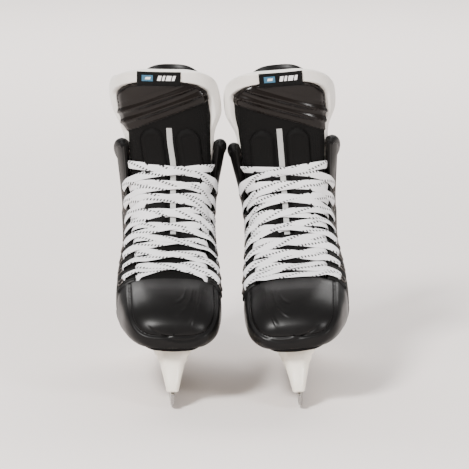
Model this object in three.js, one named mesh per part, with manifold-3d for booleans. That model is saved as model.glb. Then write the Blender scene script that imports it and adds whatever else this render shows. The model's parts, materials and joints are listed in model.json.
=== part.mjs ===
// A pair of ice hockey skates standing on their runners, toes towards -Y. Millimetres, +Z up, floor at z = 0.
// Each skate is built once in its own frame, with its lateral (outer) side at +x, then placed twice:
// the wearer's left skate as it is, and the right skate mirrored.
import * as THREE from "three";
import { mergeVertices } from "three/addons/utils/BufferGeometryUtils.js";
import Module from "manifold-3d";

const wasm = await Module();
wasm.setup();

// ---------- driving dimensions ----------
const GAP = 0.3; // clearance between pieces that touch
const BOOT_LENGTH = 286; // toe to heel
const BOOT_WIDTH = 104.5; // at the ball of the foot
const BOOT_HEIGHT = 248; // from the sole to the top of the tongue's felt
const SOLE_Z = 61; // underside of the outsole at y = 0
const SOLE_PITCH = 0.031; // rise of the outsole per mm towards the heel
const SOLE_T = 4; // outsole thickness
const SHELL_T = 3.5; // quarter and toe cap wall
const LINER_T = 5; // foam and lining inside the quarters
const FOOTBED_T = 3.5;
const TOE_CAP_END = 5; // station where the toe cap meets the quarters
const CUFF_TOP = 13.4; // last station of the quarters
const EYESTAY_T = 1.3;
const EYESTAY_W = 17; // eyestay width, measured along the skin
const EYELETS = 8; // per side
const EYELET_INSET = 10; // eyelet centre from the throat edge
const EYELET_R = 3.2;
const LACE_W = 8;
const LACE_T = 1.2;
const TONGUE_T = 5; // black front of the tongue
const FELT_T = 5; // white felt behind it
const TONGUE_SPLIT = 13.75; // station where the tongue's top flap bends
const GUARD_T = 3; // tendon guard wall
const RUNNER_T = 3; // steel thickness
const RUNNER_LENGTH = 278;
const RUNNER_MID_Y = 1; // the runner's middle, from the middle of the boot
const RUNNER_Y = [RUNNER_MID_Y - RUNNER_LENGTH / 2, RUNNER_MID_Y + RUNNER_LENGTH / 2]; // steel tips
const HOLDER_Y = [RUNNER_Y[0] + 4, RUNNER_Y[1] - 4];
const HOLDER_Z = 17; // lower lip of the holder
const HOLDER_HALF_LOW = 5.75; // half width at the lower lip
const HOLDER_HALF_HIGH = 17.2; // half width at the flanges
const FLANGE_T = 3;
const FLANGE_HALF = 25.5;
const RIVET_R = 2;
const RIVET_HEAD_R = 3.6;
const RIVET_HEAD_T = 1.2;
const RUNNER_X = { left: 61.6, right: -58 }; // runner's front tip in the pair
const TOE_IN = { left: 2, right: 3 }; // degrees, toes towards each other
const LEAN = { left: 4.9, right: 1 }; // degrees, tops towards each other
const TIP_Y = RUNNER_Y[0]; // the toe-in turns about the runner's front tip

// ---------- stations of the boot's skin ----------
// f is the front (or top) point and k the back (or bottom) point of a section as [y, z], with z above SOLE_Z; wl and
// wm are the lateral and medial half widths; c is where along k-f the section is widest; nf and nb are superellipse
// exponents. The table is for a boot of the size TABLE_SIZE, and the boot's own size stretches it.
const TABLE_SIZE = { width: 104.5, length: 286, height: 248 };
const STATIONS = [
  { f: [-141, 13.5], k: [-141, 11.5], wl: 1, wm: 1, c: 0.5, nf: 2, nb: 2 },
  { f: [-138, 23.5], k: [-139, 0.5], wl: 24, wm: 24, c: 0.5, nf: 2.3, nb: 2.3 },
  { f: [-130, 32.5], k: [-132, -3.5], wl: 36, wm: 35, c: 0.5, nf: 2.5, nb: 2.4 },
  { f: [-117, 40.5], k: [-118, -4.5], wl: 43.5, wm: 42, c: 0.5, nf: 2.7, nb: 2.6 },
  { f: [-98, 47.5], k: [-98, -4.5], wl: 48, wm: 45, c: 0.5, nf: 2.9, nb: 2.8 },
  { f: [-74, 53.5], k: [-74, -4.5], wl: 51.5, wm: 47, c: 0.5, nf: 3.2, nb: 3 },
  { f: [-54, 63.5], k: [-36, -4], wl: 53, wm: 47.5, c: 0.48, nf: 3.4, nb: 3 },
  { f: [-35, 78.5], k: [8, -3.5], wl: 50.5, wm: 46.5, c: 0.48, nf: 3.4, nb: 2.8 },
  { f: [-20, 95.5], k: [62, -1.5], wl: 47, wm: 45, c: 0.48, nf: 3.4, nb: 2.5 },
  { f: [-11, 111.5], k: [115, 0.5], wl: 45, wm: 44, c: 0.5, nf: 3.4, nb: 2.3 },
  { f: [-6, 126.5], k: [145, 22.5], wl: 45, wm: 44.5, c: 0.5, nf: 3.4, nb: 2.2 },
  { f: [-3, 141.5], k: [139, 78.5], wl: 47.5, wm: 47, c: 0.52, nf: 3.4, nb: 2.2 },
  { f: [-3, 156.5], k: [130, 128.5], wl: 51.5, wm: 51, c: 0.55, nf: 3.4, nb: 2.2 },
  { f: [-6, 174.5], k: [129, 170.5], wl: 55, wm: 54.5, c: 0.58, nf: 3.4, nb: 2.2 },
  { f: [-12, 198.5], k: [131, 204.5], wl: 55.5, wm: 55.5, c: 0.6, nf: 3.2, nb: 2.2 },
  { f: [-20, 223.5], k: [136, 230.5], wl: 56, wm: 56, c: 0.6, nf: 3, nb: 2.2 },
  { f: [-29, 247.5], k: [141, 254.5], wl: 56, wm: 56, c: 0.6, nf: 3, nb: 2.2 },
];
const [WIDE, LONG, HIGH] = [
  BOOT_WIDTH / TABLE_SIZE.width,
  BOOT_LENGTH / TABLE_SIZE.length,
  BOOT_HEIGHT / TABLE_SIZE.height,
];
// Half width of the throat between the facing edges, at stations 5 to 14.
const THROAT_HALF = [35, 36, 37, 38.5, 40, 41, 42, 43.5, 45, 46];

const soleZ = (y) => SOLE_Z + SOLE_PITCH * y;

// Catmull-Rom value of a list at a fractional index.
function spline(values, t) {
  const last = values.length - 1;
  const i = Math.min(Math.max(Math.floor(t), 0), last - 1);
  const s = t - i;
  const at = (j) => values[Math.min(Math.max(j, 0), last)];
  const [a, b, c, d] = [at(i - 1), at(i), at(i + 1), at(i + 2)];
  return b + 0.5 * s * (c - a + s * (2 * a - 5 * b + 4 * c - d + s * (3 * (b - c) + d - a)));
}

function station(t) {
  const of = (pick) => spline(STATIONS.map(pick), t);
  return {
    f: [of((s) => s.f[0]) * LONG, of((s) => s.f[1]) * HIGH + SOLE_Z],
    k: [of((s) => s.k[0]) * LONG, of((s) => s.k[1]) * HIGH + SOLE_Z],
    wl: of((s) => s.wl) * WIDE,
    wm: of((s) => s.wm) * WIDE,
    c: of((s) => s.c),
    nf: of((s) => s.nf),
    nb: of((s) => s.nb),
  };
}

// A point of the skin. phi is 0 at the back or sole, +-PI at the front or top, and positive on the lateral side.
// off moves the point out of the skin (negative is into the boot).
function skin(t, phi, off = 0) {
  const s = station(t);
  const a = Math.abs(phi);
  const along = [s.f[0] - s.k[0], s.f[1] - s.k[1]];
  const len = Math.hypot(...along) || 1;
  const dir = along.map((v) => v / len);
  const upper = a > Math.PI / 2;
  const n = upper ? s.nf : s.nb;
  const wide = Math.pow(Math.max(Math.sin(a), 0), 2 / n);
  const tall = Math.pow(Math.abs(Math.cos(a)), 2 / n);
  const h = upper ? s.c + (1 - s.c) * tall : s.c * (1 - tall);
  const w = Math.max((phi >= 0 ? s.wl : s.wm) + off, 0.1);
  const span = len + 2 * off;
  const x = Math.sign(phi || 1) * w * wide;
  const tipShift = -off * Math.min(Math.max((-100 * LONG - s.k[0]) / 40, 0), 1);
  return new THREE.Vector3(
    x,
    s.k[0] - dir[0] * off + dir[0] * span * h + tipShift,
    s.k[1] - dir[1] * off + dir[1] * span * h,
  );
}

// phi at which the skin is half apart from the centre line, on the front of section t.
function phiAtHalf(t, half, side) {
  const s = station(t);
  const w = side > 0 ? s.wl : s.wm;
  const sine = Math.pow(Math.min(half / w, 0.999), s.nf / 2);
  return Math.PI - Math.asin(sine);
}
const throatHalf = (t) => spline(THROAT_HALF, t - 5) * WIDE;
const throatPhi = (t, side) => side * phiAtHalf(t, throatHalf(t), side);

// phi of the point that lies dist further round the skin from the throat edge.
function phiFromEdge(t, side, dist) {
  let phi = Math.abs(throatPhi(t, side));
  let left = dist;
  const step = 0.02;
  let here = skin(t, side * phi);
  while (left > 0 && phi > 0.2) {
    const next = skin(t, side * (phi - step));
    const moved = next.distanceTo(here);
    phi -= step * Math.min(left / moved, 1);
    left -= moved;
    here = next;
  }
  return side * phi;
}

// Outward normal of the skin.
function skinNormal(t, phi) {
  const e = 0.02;
  const dt = skin(t + e, phi).sub(skin(t - e, phi));
  const dp = skin(t, phi + e).sub(skin(t, phi - e));
  const n = dt.cross(dp).normalize();
  const s = station(t);
  const mid = new THREE.Vector3(0, (s.f[0] + s.k[0]) / 2, (s.f[1] + s.k[1]) / 2);
  return n.dot(skin(t, phi).sub(mid)) < 0 ? n.negate() : n;
}

// ---------- meshes and solids ----------
function geometryOf(points, triangles) {
  const g = new THREE.BufferGeometry();
  g.setAttribute("position", new THREE.Float32BufferAttribute(points.flatMap((p) => [p.x, p.y, p.z]), 3));
  g.setIndex(triangles.flat());
  return g;
}

// A three.js geometry as a manifold-3d solid.
function solid(geometry) {
  const bare = new THREE.BufferGeometry();
  const source = geometry.index ? geometry.toNonIndexed() : geometry;
  bare.setAttribute("position", source.getAttribute("position").clone());
  const merged = mergeVertices(bare, 1e-4);
  const made = new wasm.Manifold(
    new wasm.Mesh({
      numProp: 3,
      vertProperties: merged.attributes.position.array,
      triVerts: new Uint32Array(merged.index.array),
    }),
  );
  if (made.volume() > 0) return made;
  const flipped = new Uint32Array(merged.index.array);
  for (let i = 0; i < flipped.length; i += 3) [flipped[i], flipped[i + 1]] = [flipped[i + 1], flipped[i]];
  return new wasm.Manifold(
    new wasm.Mesh({ numProp: 3, vertProperties: merged.attributes.position.array, triVerts: flipped }),
  );
}

// A manifold-3d solid as a three.js geometry.
function geometry(made) {
  const mesh = made.getMesh();
  const points = [];
  for (let i = 0; i < mesh.numVert; i++) points.push(...mesh.vertProperties.slice(i * mesh.numProp, i * mesh.numProp + 3));
  const g = new THREE.BufferGeometry();
  g.setAttribute("position", new THREE.Float32BufferAttribute(points, 3));
  g.setIndex(Array.from(mesh.triVerts));
  return g;
}

// The closed solid between two grids of points of the same size, outer[i][j] and inner[i][j].
function between(outer, inner) {
  const rows = outer.length;
  const cols = outer[0].length;
  const points = [...outer.flat(), ...inner.flat()];
  const o = (i, j) => i * cols + j;
  const n = (i, j) => rows * cols + i * cols + j;
  const triangles = [];
  const quad = (a, b, c, d) => triangles.push([a, b, c], [a, c, d]);
  for (let i = 0; i + 1 < rows; i++)
    for (let j = 0; j + 1 < cols; j++) {
      quad(o(i, j), o(i + 1, j), o(i + 1, j + 1), o(i, j + 1));
      quad(n(i, j), n(i, j + 1), n(i + 1, j + 1), n(i + 1, j));
    }
  for (let i = 0; i + 1 < rows; i++) {
    quad(o(i, 0), n(i, 0), n(i + 1, 0), o(i + 1, 0));
    quad(o(i, cols - 1), o(i + 1, cols - 1), n(i + 1, cols - 1), n(i, cols - 1));
  }
  for (let j = 0; j + 1 < cols; j++) {
    quad(o(0, j), o(0, j + 1), n(0, j + 1), n(0, j));
    quad(o(rows - 1, j), n(rows - 1, j), n(rows - 1, j + 1), o(rows - 1, j + 1));
  }
  return solid(geometryOf(points, triangles));
}

const steps = (a, b, n) => Array.from({ length: n + 1 }, (_, i) => a + ((b - a) * i) / n);

// The boot's whole closed volume from the toe tip to station end, moved out of the skin by off.
function lastSolid(end, off, nt, np) {
  const around = steps(-Math.PI, Math.PI, np).slice(0, -1);
  const tip = skin(0, 0, 0);
  const ts = [0.35, 0.7, ...steps(1, end, nt)];
  const rings = ts.map((t) => around.map((phi) => skin(t, phi, off)));
  const points = [new THREE.Vector3(0, tip.y - off, tip.z + 1), ...rings.flat()];
  const last = station(end);
  const cap = new THREE.Vector3(0, (last.f[0] + last.k[0]) / 2, (last.f[1] + last.k[1]) / 2);
  points.push(cap);
  const at = (i, j) => 1 + i * np + (j % np);
  const triangles = [];
  for (let j = 0; j < np; j++) {
    triangles.push([0, at(0, j), at(0, j + 1)]);
    triangles.push([points.length - 1, at(rings.length - 1, j + 1), at(rings.length - 1, j)]);
    for (let i = 0; i + 1 < rings.length; i++) {
      triangles.push([at(i, j), at(i + 1, j), at(i + 1, j + 1)], [at(i, j), at(i + 1, j + 1), at(i, j + 1)]);
    }
  }
  return solid(geometryOf(points, triangles));
}

// A prism along x from an outline of [y, z] points; half(z) gives its half width at each height.
function prism(outline, half) {
  const shape = new THREE.Shape(outline.map(([y, z]) => new THREE.Vector2(y, z)));
  const g = new THREE.ExtrudeGeometry(shape, { depth: 2, bevelEnabled: false, curveSegments: 6 });
  const p = g.getAttribute("position");
  for (let i = 0; i < p.count; i++) {
    const [y, z, side] = [p.getX(i), p.getY(i), p.getZ(i) - 1];
    p.setXYZ(i, side * half(z, y), y, z);
  }
  return solid(g);
}

// A slab between two heights above the outsole's underside, which it runs parallel to.
function soleSlab(low, high, y0 = -200, y1 = 220, half = 90) {
  const outline = [[y0, soleZ(y0) + low], [y1, soleZ(y1) + low], [y1, soleZ(y1) + high], [y0, soleZ(y0) + high]];
  return prism(outline, () => half);
}

// A cylinder from a to b.
function rod(a, b, r, sides = 10, rEnd = r) {
  const g = new THREE.CylinderGeometry(rEnd, r, a.distanceTo(b), sides);
  const turn = new THREE.Quaternion().setFromUnitVectors(
    new THREE.Vector3(0, 1, 0),
    b.clone().sub(a).normalize(),
  );
  g.applyQuaternion(turn);
  g.translate(...a.clone().add(b).multiplyScalar(0.5).toArray());
  return solid(g);
}
const V = (x, y, z) => new THREE.Vector3(x, y, z);

// ---------- edges that several pieces share ----------
// Top edge of the quarters as a station: high at the facings (v = 1), dipping at the ankle, high at the back (v = 0).
const CUFF_DIP = 0.85;
const cuffTop = (v) => CUFF_TOP - CUFF_DIP * Math.pow(Math.sin(Math.PI * Math.pow(v, 0.9)), 1.5) - 0.5 * Math.pow(v, 8);
const STATION_GAP = 0.02; // about 0.4 mm along the skin

// Station at a distance along the throat edge from its toe end.
function stationAlongThroat(dist) {
  const step = 0.02;
  let t = TOE_CAP_END;
  let left = dist;
  while (left > 0) {
    const moved = skin(t + step, throatPhi(t + step, 1)).distanceTo(skin(t, throatPhi(t, 1)));
    t += step * Math.min(left / moved, 1);
    left -= moved;
  }
  return t;
}
const EYELET_START = 9; // first eyelet from the toe cap, along the throat edge
const EYELET_PITCH = 17;
const EYELET_AT = Array.from({ length: EYELETS }, (_, i) => stationAlongThroat(EYELET_START + i * EYELET_PITCH));
const eyeletStation = (i) => EYELET_AT[i];
const eyeletPhi = (i, side) => phiFromEdge(EYELET_AT[i], side, EYELET_INSET);

// ---------- pieces of one skate ----------
function makeHolder() {
  const half = (z) => {
    const share = Math.min((z - HOLDER_Z) / (55 - HOLDER_Z), 1);
    return HOLDER_HALF_LOW + share * (HOLDER_HALF_HIGH - HOLDER_HALF_LOW);
  };
  const top = (y) => soleZ(y) - GAP;
  const [front, rear] = HOLDER_Y;
  const [window0, window1] = WINDOW_Y;
  const outline = [
    [front, HOLDER_Z], [rear, HOLDER_Z], [rear, 25], [rear - 7, 42], [rear - 5, top(rear - 5)],
    [window1, top(window1)], [window1 - 3, 48], [window1 - 6, 36], [window1 - 16, 30], [window0 - 20, 29],
    [window0 - 10, 38], [window0, top(window0)], [front + 12, top(front + 12)], [front + 8, 40], [front + 1, 25],
  ];
  const flange = (y0, y1) =>
    prism([[y0, top(y0) - FLANGE_T], [y1, top(y1) - FLANGE_T], [y1, top(y1)], [y0, top(y0)]], () => FLANGE_HALF);
  let made = prism(outline, half).add(flange(...FRONT_FLANGE_Y)).add(flange(...REAR_FLANGE_Y));
  const slotTop = RUNNER_TOP_Z + GAP;
  made = made.subtract(
    prism([[HOLDER_Y[0] - 5, 10], [HOLDER_Y[1] - 5, 10], [HOLDER_Y[1] - 5, slotTop], [HOLDER_Y[0] - 5, slotTop]], slotHalf),
  );
  made = made.subtract(
    prism([[TAB_Y[0] - GAP, 20], [TAB_Y[1] + GAP, 20], [TAB_Y[1] + GAP, TAB_Z + GAP], [TAB_Y[0] - GAP, TAB_Z + GAP]], slotHalf),
  );
  made = made.subtract(
    prism([[25, 31], [40, 29.5], [58, 26], [TAB_Y[0] + 4, 26], [TAB_Y[0] + 4, 45], [66, 50], [52, 52], [25, 50]], () => TRIGGER_HALF + GAP),
  );
  const [py, pz] = TRIGGER_PIVOT;
  made = made.subtract(rod(V(-40, py, pz), V(40, py, pz), PIN_R + GAP, 12));
  for (const [x, y] of rivetSpots()) made = made.subtract(rod(V(x, y, 30), V(x, y, 80), RIVET_R + GAP, 6));
  return made;
}
const RUNNER_FLAT = 110; // flat middle of the ground edge
const RUNNER_TOP_Z = 27; // top of the steel inside the holder
const TAB_Y = [66, 92]; // latch tab of the steel
const TAB_Z = 44;
const TRIGGER_PIVOT = [54, 42]; // [y, z]
const TRIGGER_HALF = 2.4;
const PIN_R = 2;
const WINDOW_Y = [-26, 40]; // the towers' faces at the outsole
const FRONT_FLANGE_Y = [HOLDER_Y[0] + 21, WINDOW_Y[0] + 6];
const REAR_FLANGE_Y = [WINDOW_Y[1] - 4, HOLDER_Y[1] - 4];
const RIVET_EDGE = 13; // rivets from the flanges' ends
const slotHalf = () => RUNNER_T / 2 + GAP;

const RIVET_X = 21.6;
const RIVET_Y = [FRONT_FLANGE_Y, REAR_FLANGE_Y].flatMap(([y0, y1]) => [y0 + RIVET_EDGE, y1 - RIVET_EDGE]);
const rivetSpots = () => RIVET_Y.flatMap((y) => [[RIVET_X, y], [-RIVET_X, y]]);

function makeRunner() {
  const [front, rear] = RUNNER_Y;
  const edge = HOLDER_Z - 0.5;
  const outline = [
    [front, edge], [front + 0.8, 11], [front + 5, 6], [front + 14, 2.4], [front + 34, 0.7], [-RUNNER_FLAT / 2, 0],
    [RUNNER_FLAT / 2, 0], [rear - 36, 0.7], [rear - 14, 2.4], [rear - 5, 6], [rear - 0.8, 11], [rear, edge],
    [rear - 10, edge], [rear - 10, RUNNER_TOP_Z], [TAB_Y[1], RUNNER_TOP_Z], [TAB_Y[1], TAB_Z], [TAB_Y[0], TAB_Z],
    [TAB_Y[0], 41], [TAB_Y[0] + 3.5, 40.5], [TAB_Y[0] + 3.5, RUNNER_TOP_Z], [front + 7, RUNNER_TOP_Z - 3],
    [front + 6, edge],
  ];
  return prism(outline, () => RUNNER_T / 2);
}

function makeTrigger() {
  const outline = [
    [33, 33], [37, 31.6], [50, 36], [58, 34], [67.5, 33], [67.5, 38.5], [61, 46], [55, 49], [48, 47], [44, 41.5], [34, 37],
  ];
  const [y, z] = TRIGGER_PIVOT;
  return prism(outline, () => TRIGGER_HALF).subtract(rod(V(-9, y, z), V(9, y, z), PIN_R + GAP, 12));
}

function makeTriggerPin() {
  const [y, z] = TRIGGER_PIVOT;
  return rod(V(-13, y, z), V(13, y, z), PIN_R, 12);
}

function makeRivet(x, y) {
  const under = soleZ(y) - GAP - FLANGE_T - GAP;
  const head = rod(V(x, y, under - RIVET_HEAD_T), V(x, y, under), RIVET_HEAD_R * 0.8, 8, RIVET_HEAD_R);
  return head.add(rod(V(x, y, under - 0.5), V(x, y, soleZ(y) + SOLE_T - 0.6), RIVET_R, 6));
}

function makeOutsole() {
  let made = lastSolid(12, 0, 11, 28).intersect(soleSlab(0, SOLE_T));
  for (const [x, y] of rivetSpots()) made = made.subtract(rod(V(x, y, 30), V(x, y, 80), RIVET_R + GAP, 6));
  return made;
}

const makeFootbed = () =>
  lastSolid(11.5, -SHELL_T - LINER_T - 2 * GAP, 12, 24).intersect(soleSlab(SOLE_T + GAP, SOLE_T + GAP + FOOTBED_T));

const makeToeCap = () =>
  lastSolid(TOE_CAP_END, 0, 5, 24)
    .subtract(lastSolid(TOE_CAP_END + 0.6, -SHELL_T, 4, 16))
    .subtract(soleSlab(-80, SOLE_T + GAP));

// The quarters, eyestays and liner lie on one grid of the skin, so that their faces nest: s runs from the toe cap to
// the cuff's top edge and v from the back or sole seam to the throat edge.
const S_LINES = steps(0, 1, 11);
const V_LINES = [0, 0.12, 0.25, 0.38, 0.52, 0.64, 0.74, 0.8, 0.9, 1];
const LINER_V = 0.74; // the liner ends at this line, clear of the tongue
const EYESTAY_V = 0.8; // the eyestay runs from this line to the throat edge, EYESTAY_W wide
const SEAM = 0.004; // half of the gap at the back seam, in phi

function bootPhi(t, v, side) {
  const edge = Math.abs(throatPhi(t, side));
  const inner = Math.abs(phiFromEdge(t, side, EYESTAY_W));
  if (v < EYESTAY_V) return side * (SEAM + ((inner - SEAM) * v) / EYESTAY_V);
  return side * (inner + ((edge - inner) * (v - EYESTAY_V)) / (1 - EYESTAY_V));
}

function bootPoint(s, v, side, off) {
  const start = TOE_CAP_END + STATION_GAP;
  const t = start + (cuffTop(v) - start) * s;
  return skin(t, bootPhi(t, v, side), off);
}

// vLines are negative on the medial side and rise from medial to lateral.
function bootRegion(sLines, vLines, offIn, offOut) {
  const grid = (off) => sLines.map((s) => vLines.map((v) => bootPoint(s, Math.abs(v), v < 0 ? -1 : 1, off)));
  return between(grid(offOut), grid(offIn));
}
const sideLines = (side, lines) => (side > 0 ? lines : lines.map((v) => -Math.max(v, 1e-9)).reverse());

function makeQuarter(side) {
  let made = bootRegion(S_LINES, sideLines(side, V_LINES), -SHELL_T, 0).subtract(soleSlab(-80, SOLE_T + GAP));
  for (let i = 0; i < EYELETS; i++) made = made.subtract(eyeletHole(i, side));
  return made;
}

function eyeletHole(i, side) {
  const [t, phi] = [eyeletStation(i), eyeletPhi(i, side)];
  const n = skinNormal(t, phi);
  const at = skin(t, phi);
  return rod(at.clone().addScaledVector(n, -SHELL_T - 2), at.clone().addScaledVector(n, EYESTAY_T + 2), EYELET_R, 5);
}

function makeEyestay(side) {
  const lines = sideLines(side, V_LINES.filter((v) => v >= EYESTAY_V));
  let made = bootRegion(S_LINES, lines, GAP, GAP + EYESTAY_T);
  for (let i = 0; i < EYELETS; i++) made = made.subtract(eyeletHole(i, side));
  return made;
}

function makeLiner() {
  const half = V_LINES.filter((v) => v <= LINER_V);
  const across = [...sideLines(-1, half), ...half.slice(1)];
  return bootRegion(S_LINES.slice(1), across, -SHELL_T - GAP - LINER_T, -SHELL_T - GAP).subtract(
    soleSlab(-80, SOLE_T + FOOTBED_T + 2 * GAP),
  );
}

const GUARD_TOP = 15.2; // station of the tendon guard's top
const GUARD_V = 0.38; // how far round the ankle it reaches at its foot
const GUARD_TAPER = 0.25; // share by which it narrows at its top

// The guard stands on the quarters' top edge and narrows upwards.
function makeTendonGuard() {
  const half = V_LINES.filter((v) => v <= GUARD_V);
  const across = [...sideLines(-1, half), ...half.slice(1)];
  const grid = (off) =>
    steps(0, 1, 5).map((s) =>
      across.map((v) => {
        const start = cuffTop(Math.abs(v)) + STATION_GAP;
        const top = GUARD_TOP - 0.6 * Math.pow(Math.abs(v) / GUARD_V, 3);
        const phi = bootPhi(start, Math.abs(v), v < 0 ? -1 : 1) * (1 - GUARD_TAPER * s);
        return skin(start + (top - start) * s, phi, off);
      }),
    );
  return between(grid(0), grid(-GUARD_T));
}

const TONGUE_OFF = -1.5; // the tongue's face lies this far inside the skin
const TONGUE_GAP = 1.2; // between the tongue's front and its felt, which are stitched at the edge
const FLAP_END = 15.45; // top of the black flap
const FELT_END = 16;
const FELT_SHOW = 5; // felt that shows beside the black front
const TONGUE_LINES = steps(TOE_CAP_END + STATION_GAP, TONGUE_SPLIT, 9);
const FLAP_LINES = [...steps(TONGUE_SPLIT + STATION_GAP, 14.9, 4), 15.15, 15.36, FLAP_END];
const ACROSS = steps(1, -1, 6);
const tongueHalf = (t) => throatHalf(Math.min(t, CUFF_TOP)) - 2 * GAP;
const feltHalf = (t) => Math.min(tongueHalf(t) + FELT_SHOW, station(t).wm * 0.97);
const feltOff = TONGUE_OFF - TONGUE_T - TONGUE_GAP;

// Half width near a rounded top that starts at station from and ends at station end.
function roundedTop(t, from, end, half) {
  const f = Math.min(Math.max((t - from) / (end - from), 0), 0.97);
  return half * Math.pow(1 - Math.pow(f, 2.8), 1 / 2.8);
}
const flapHalf = (t) => roundedTop(t, 14.6, FLAP_END, tongueHalf(t));

// A piece across the front: columns(t) lists its x places from lateral to medial.
function frontPiece(ts, columns, offIn, offOut) {
  const grid = (off) =>
    ts.map((t) =>
      columns(t).map((x) => {
        const side = x >= 0 ? 1 : -1;
        return skin(t, side * phiAtHalf(t, Math.abs(x), side), off);
      }),
    );
  return between(grid(offOut), grid(offIn));
}
const spread = (half) => ACROSS.map((f) => f * half);

const makeTongueFront = () =>
  frontPiece(TONGUE_LINES, (t) => spread(tongueHalf(t)), TONGUE_OFF - TONGUE_T, TONGUE_OFF);
const makeTongueFelt = () =>
  frontPiece(
    TONGUE_LINES.slice(1), (t) => [feltHalf(t), ...spread(Math.min(tongueHalf(t), feltHalf(t) - 0.5)), -feltHalf(t)],
    feltOff - FELT_T, feltOff,
  );
const makeTongueFlap = () => frontPiece(FLAP_LINES, (t) => spread(flapHalf(t)), TONGUE_OFF - TONGUE_T, TONGUE_OFF);
const makeFlapFelt = () =>
  frontPiece(
    [...FLAP_LINES, 15.7, 15.88, FELT_END], (t) => spread(roundedTop(t, 14.9, FELT_END, feltHalf(t))),
    feltOff - FELT_T, feltOff,
  );
const LABEL_SHIFT = 4;
const LABEL_HALF = 21;
const makeLabel = () =>
  frontPiece(
    [FLAP_END + 0.02, 15.7, FELT_END - 0.12], () => [LABEL_HALF, 7, -7, -LABEL_HALF].map((x) => x + LABEL_SHIFT),
    feltOff + TONGUE_GAP, feltOff + TONGUE_GAP + 1.5,
  );
const STRIP_START = 3; // index in TONGUE_LINES
const makeStrip = () =>
  frontPiece(TONGUE_LINES.slice(STRIP_START, -1), () => [2.4, 0, -2.4], TONGUE_OFF + GAP, TONGUE_OFF + GAP + 0.8);

const LACE_LIFT = 1.2; // the strips' height over the eyestay, which they touch only at the eyelets
const LACE_STEPS = [-0.03, 0.1, 0.2, 0.34, 0.5, 0.66, 0.8, 0.9, 1.03];

// One flat strip of lace over the skin, from an eyelet on one side to one on the other.
// Strips that start on the medial side lie over the others, one lace thickness higher.
function laceStrip(from, to, side) {
  const low = EYESTAY_T + LACE_LIFT + (side < 0 ? LACE_T + 0.2 : 0);
  const a = Math.PI - Math.abs(eyeletPhi(from, side));
  const b = Math.PI - Math.abs(eyeletPhi(to, -side));
  const [ta, tb] = [eyeletStation(from), eyeletStation(to)];
  const middle = (s) => {
    const psi = side * (a - (a + b) * s);
    return [ta + (tb - ta) * s, Math.sign(psi || 1) * (Math.PI - Math.abs(psi))];
  };
  const rows = LACE_STEPS.map((s) => {
    const [t, phi] = middle(s);
    const perMm = 0.01 / skin(t + 0.01, phi).distanceTo(skin(t, phi));
    return [t - (LACE_W / 2) * perMm, t + (LACE_W / 2) * perMm].map((edge) => [edge, phi]);
  });
  const grid = (off) => rows.map((row) => row.map(([t, phi]) => skin(t, phi, off)));
  return between(grid(low + LACE_T), grid(low));
}

function makeLace() {
  let made = laceStrip(0, 0, 1);
  for (let i = 0; i + 1 < EYELETS; i++)
    for (const side of [1, -1]) made = made.add(laceStrip(i, i + 1, side));
  for (let i = 0; i < EYELETS; i++)
    for (const side of [1, -1]) {
      const [t, phi] = [eyeletStation(i), eyeletPhi(i, side)];
      const n = skinNormal(t, phi);
      const at = skin(t, phi);
      const peg = rod(at.clone().addScaledVector(n, -SHELL_T + 0.5), at.clone().addScaledVector(n, EYESTAY_T + LACE_LIFT + 2 * LACE_T), EYELET_R - 2 * GAP, 5);
      made = made.add(peg);
    }
  // the largest part is the lace: the others are pockets sealed where strips and pegs meet
  return made.simplify(0.05).decompose().reduce((a, b) => (b.volume() > a.volume() ? b : a));
}

// ---------- materials ----------
const finish = (color, roughness, metalness = 0) => new THREE.MeshStandardMaterial({ color, roughness, metalness });
const STEEL = finish(0xb9b9bb, 0.25, 1);
const HOLDER_WHITE = finish(0xf1ede4, 0.35);
const CAP_BLACK = finish(0x1a1a1a, 0.35);
const QUARTER_BLACK = finish(0x161616, 0.5);
const LINING_GREY = finish(0x2b2b2d, 0.9);
const FELT_WHITE = finish(0xe9e5de, 0.95);
const LACE_WHITE = finish(0xf2f0f2, 0.8);
const SILVER = finish(0xa6a6a4, 0.5);
const RIVET_DARK = finish(0x4a4643, 0.4, 1);

// One skate's pieces as { name: [solid, material] }, lateral side at +x.
function skatePieces() {
  const pieces = {
    runner: [makeRunner(), STEEL],
    holder: [makeHolder(), HOLDER_WHITE],
    trigger: [makeTrigger(), RIVET_DARK],
    trigger_pin: [makeTriggerPin(), STEEL],
    outsole: [makeOutsole(), CAP_BLACK],
    footbed: [makeFootbed(), LINING_GREY],
    toe_cap: [makeToeCap(), CAP_BLACK],
    lateral_quarter: [makeQuarter(1), QUARTER_BLACK],
    medial_quarter: [makeQuarter(-1), QUARTER_BLACK],
    lateral_eyestay: [makeEyestay(1), QUARTER_BLACK],
    medial_eyestay: [makeEyestay(-1), QUARTER_BLACK],
    ankle_liner: [makeLiner(), LINING_GREY],
    tendon_guard: [makeTendonGuard(), CAP_BLACK],
    tongue_front: [makeTongueFront(), QUARTER_BLACK],
    tongue_felt: [makeTongueFelt(), FELT_WHITE],
    tongue_flap: [makeTongueFlap(), CAP_BLACK],
    tongue_flap_felt: [makeFlapFelt(), FELT_WHITE],
    tongue_label: [makeLabel(), QUARTER_BLACK],
    tongue_strip: [makeStrip(), SILVER],
    lace: [makeLace(), LACE_WHITE],
  };
  rivetSpots().forEach(([x, y], i) => {
    pieces[`holder_rivet_${i + 1}`] = [makeRivet(x, y), RIVET_DARK];
  });
  return pieces;
}

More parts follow.
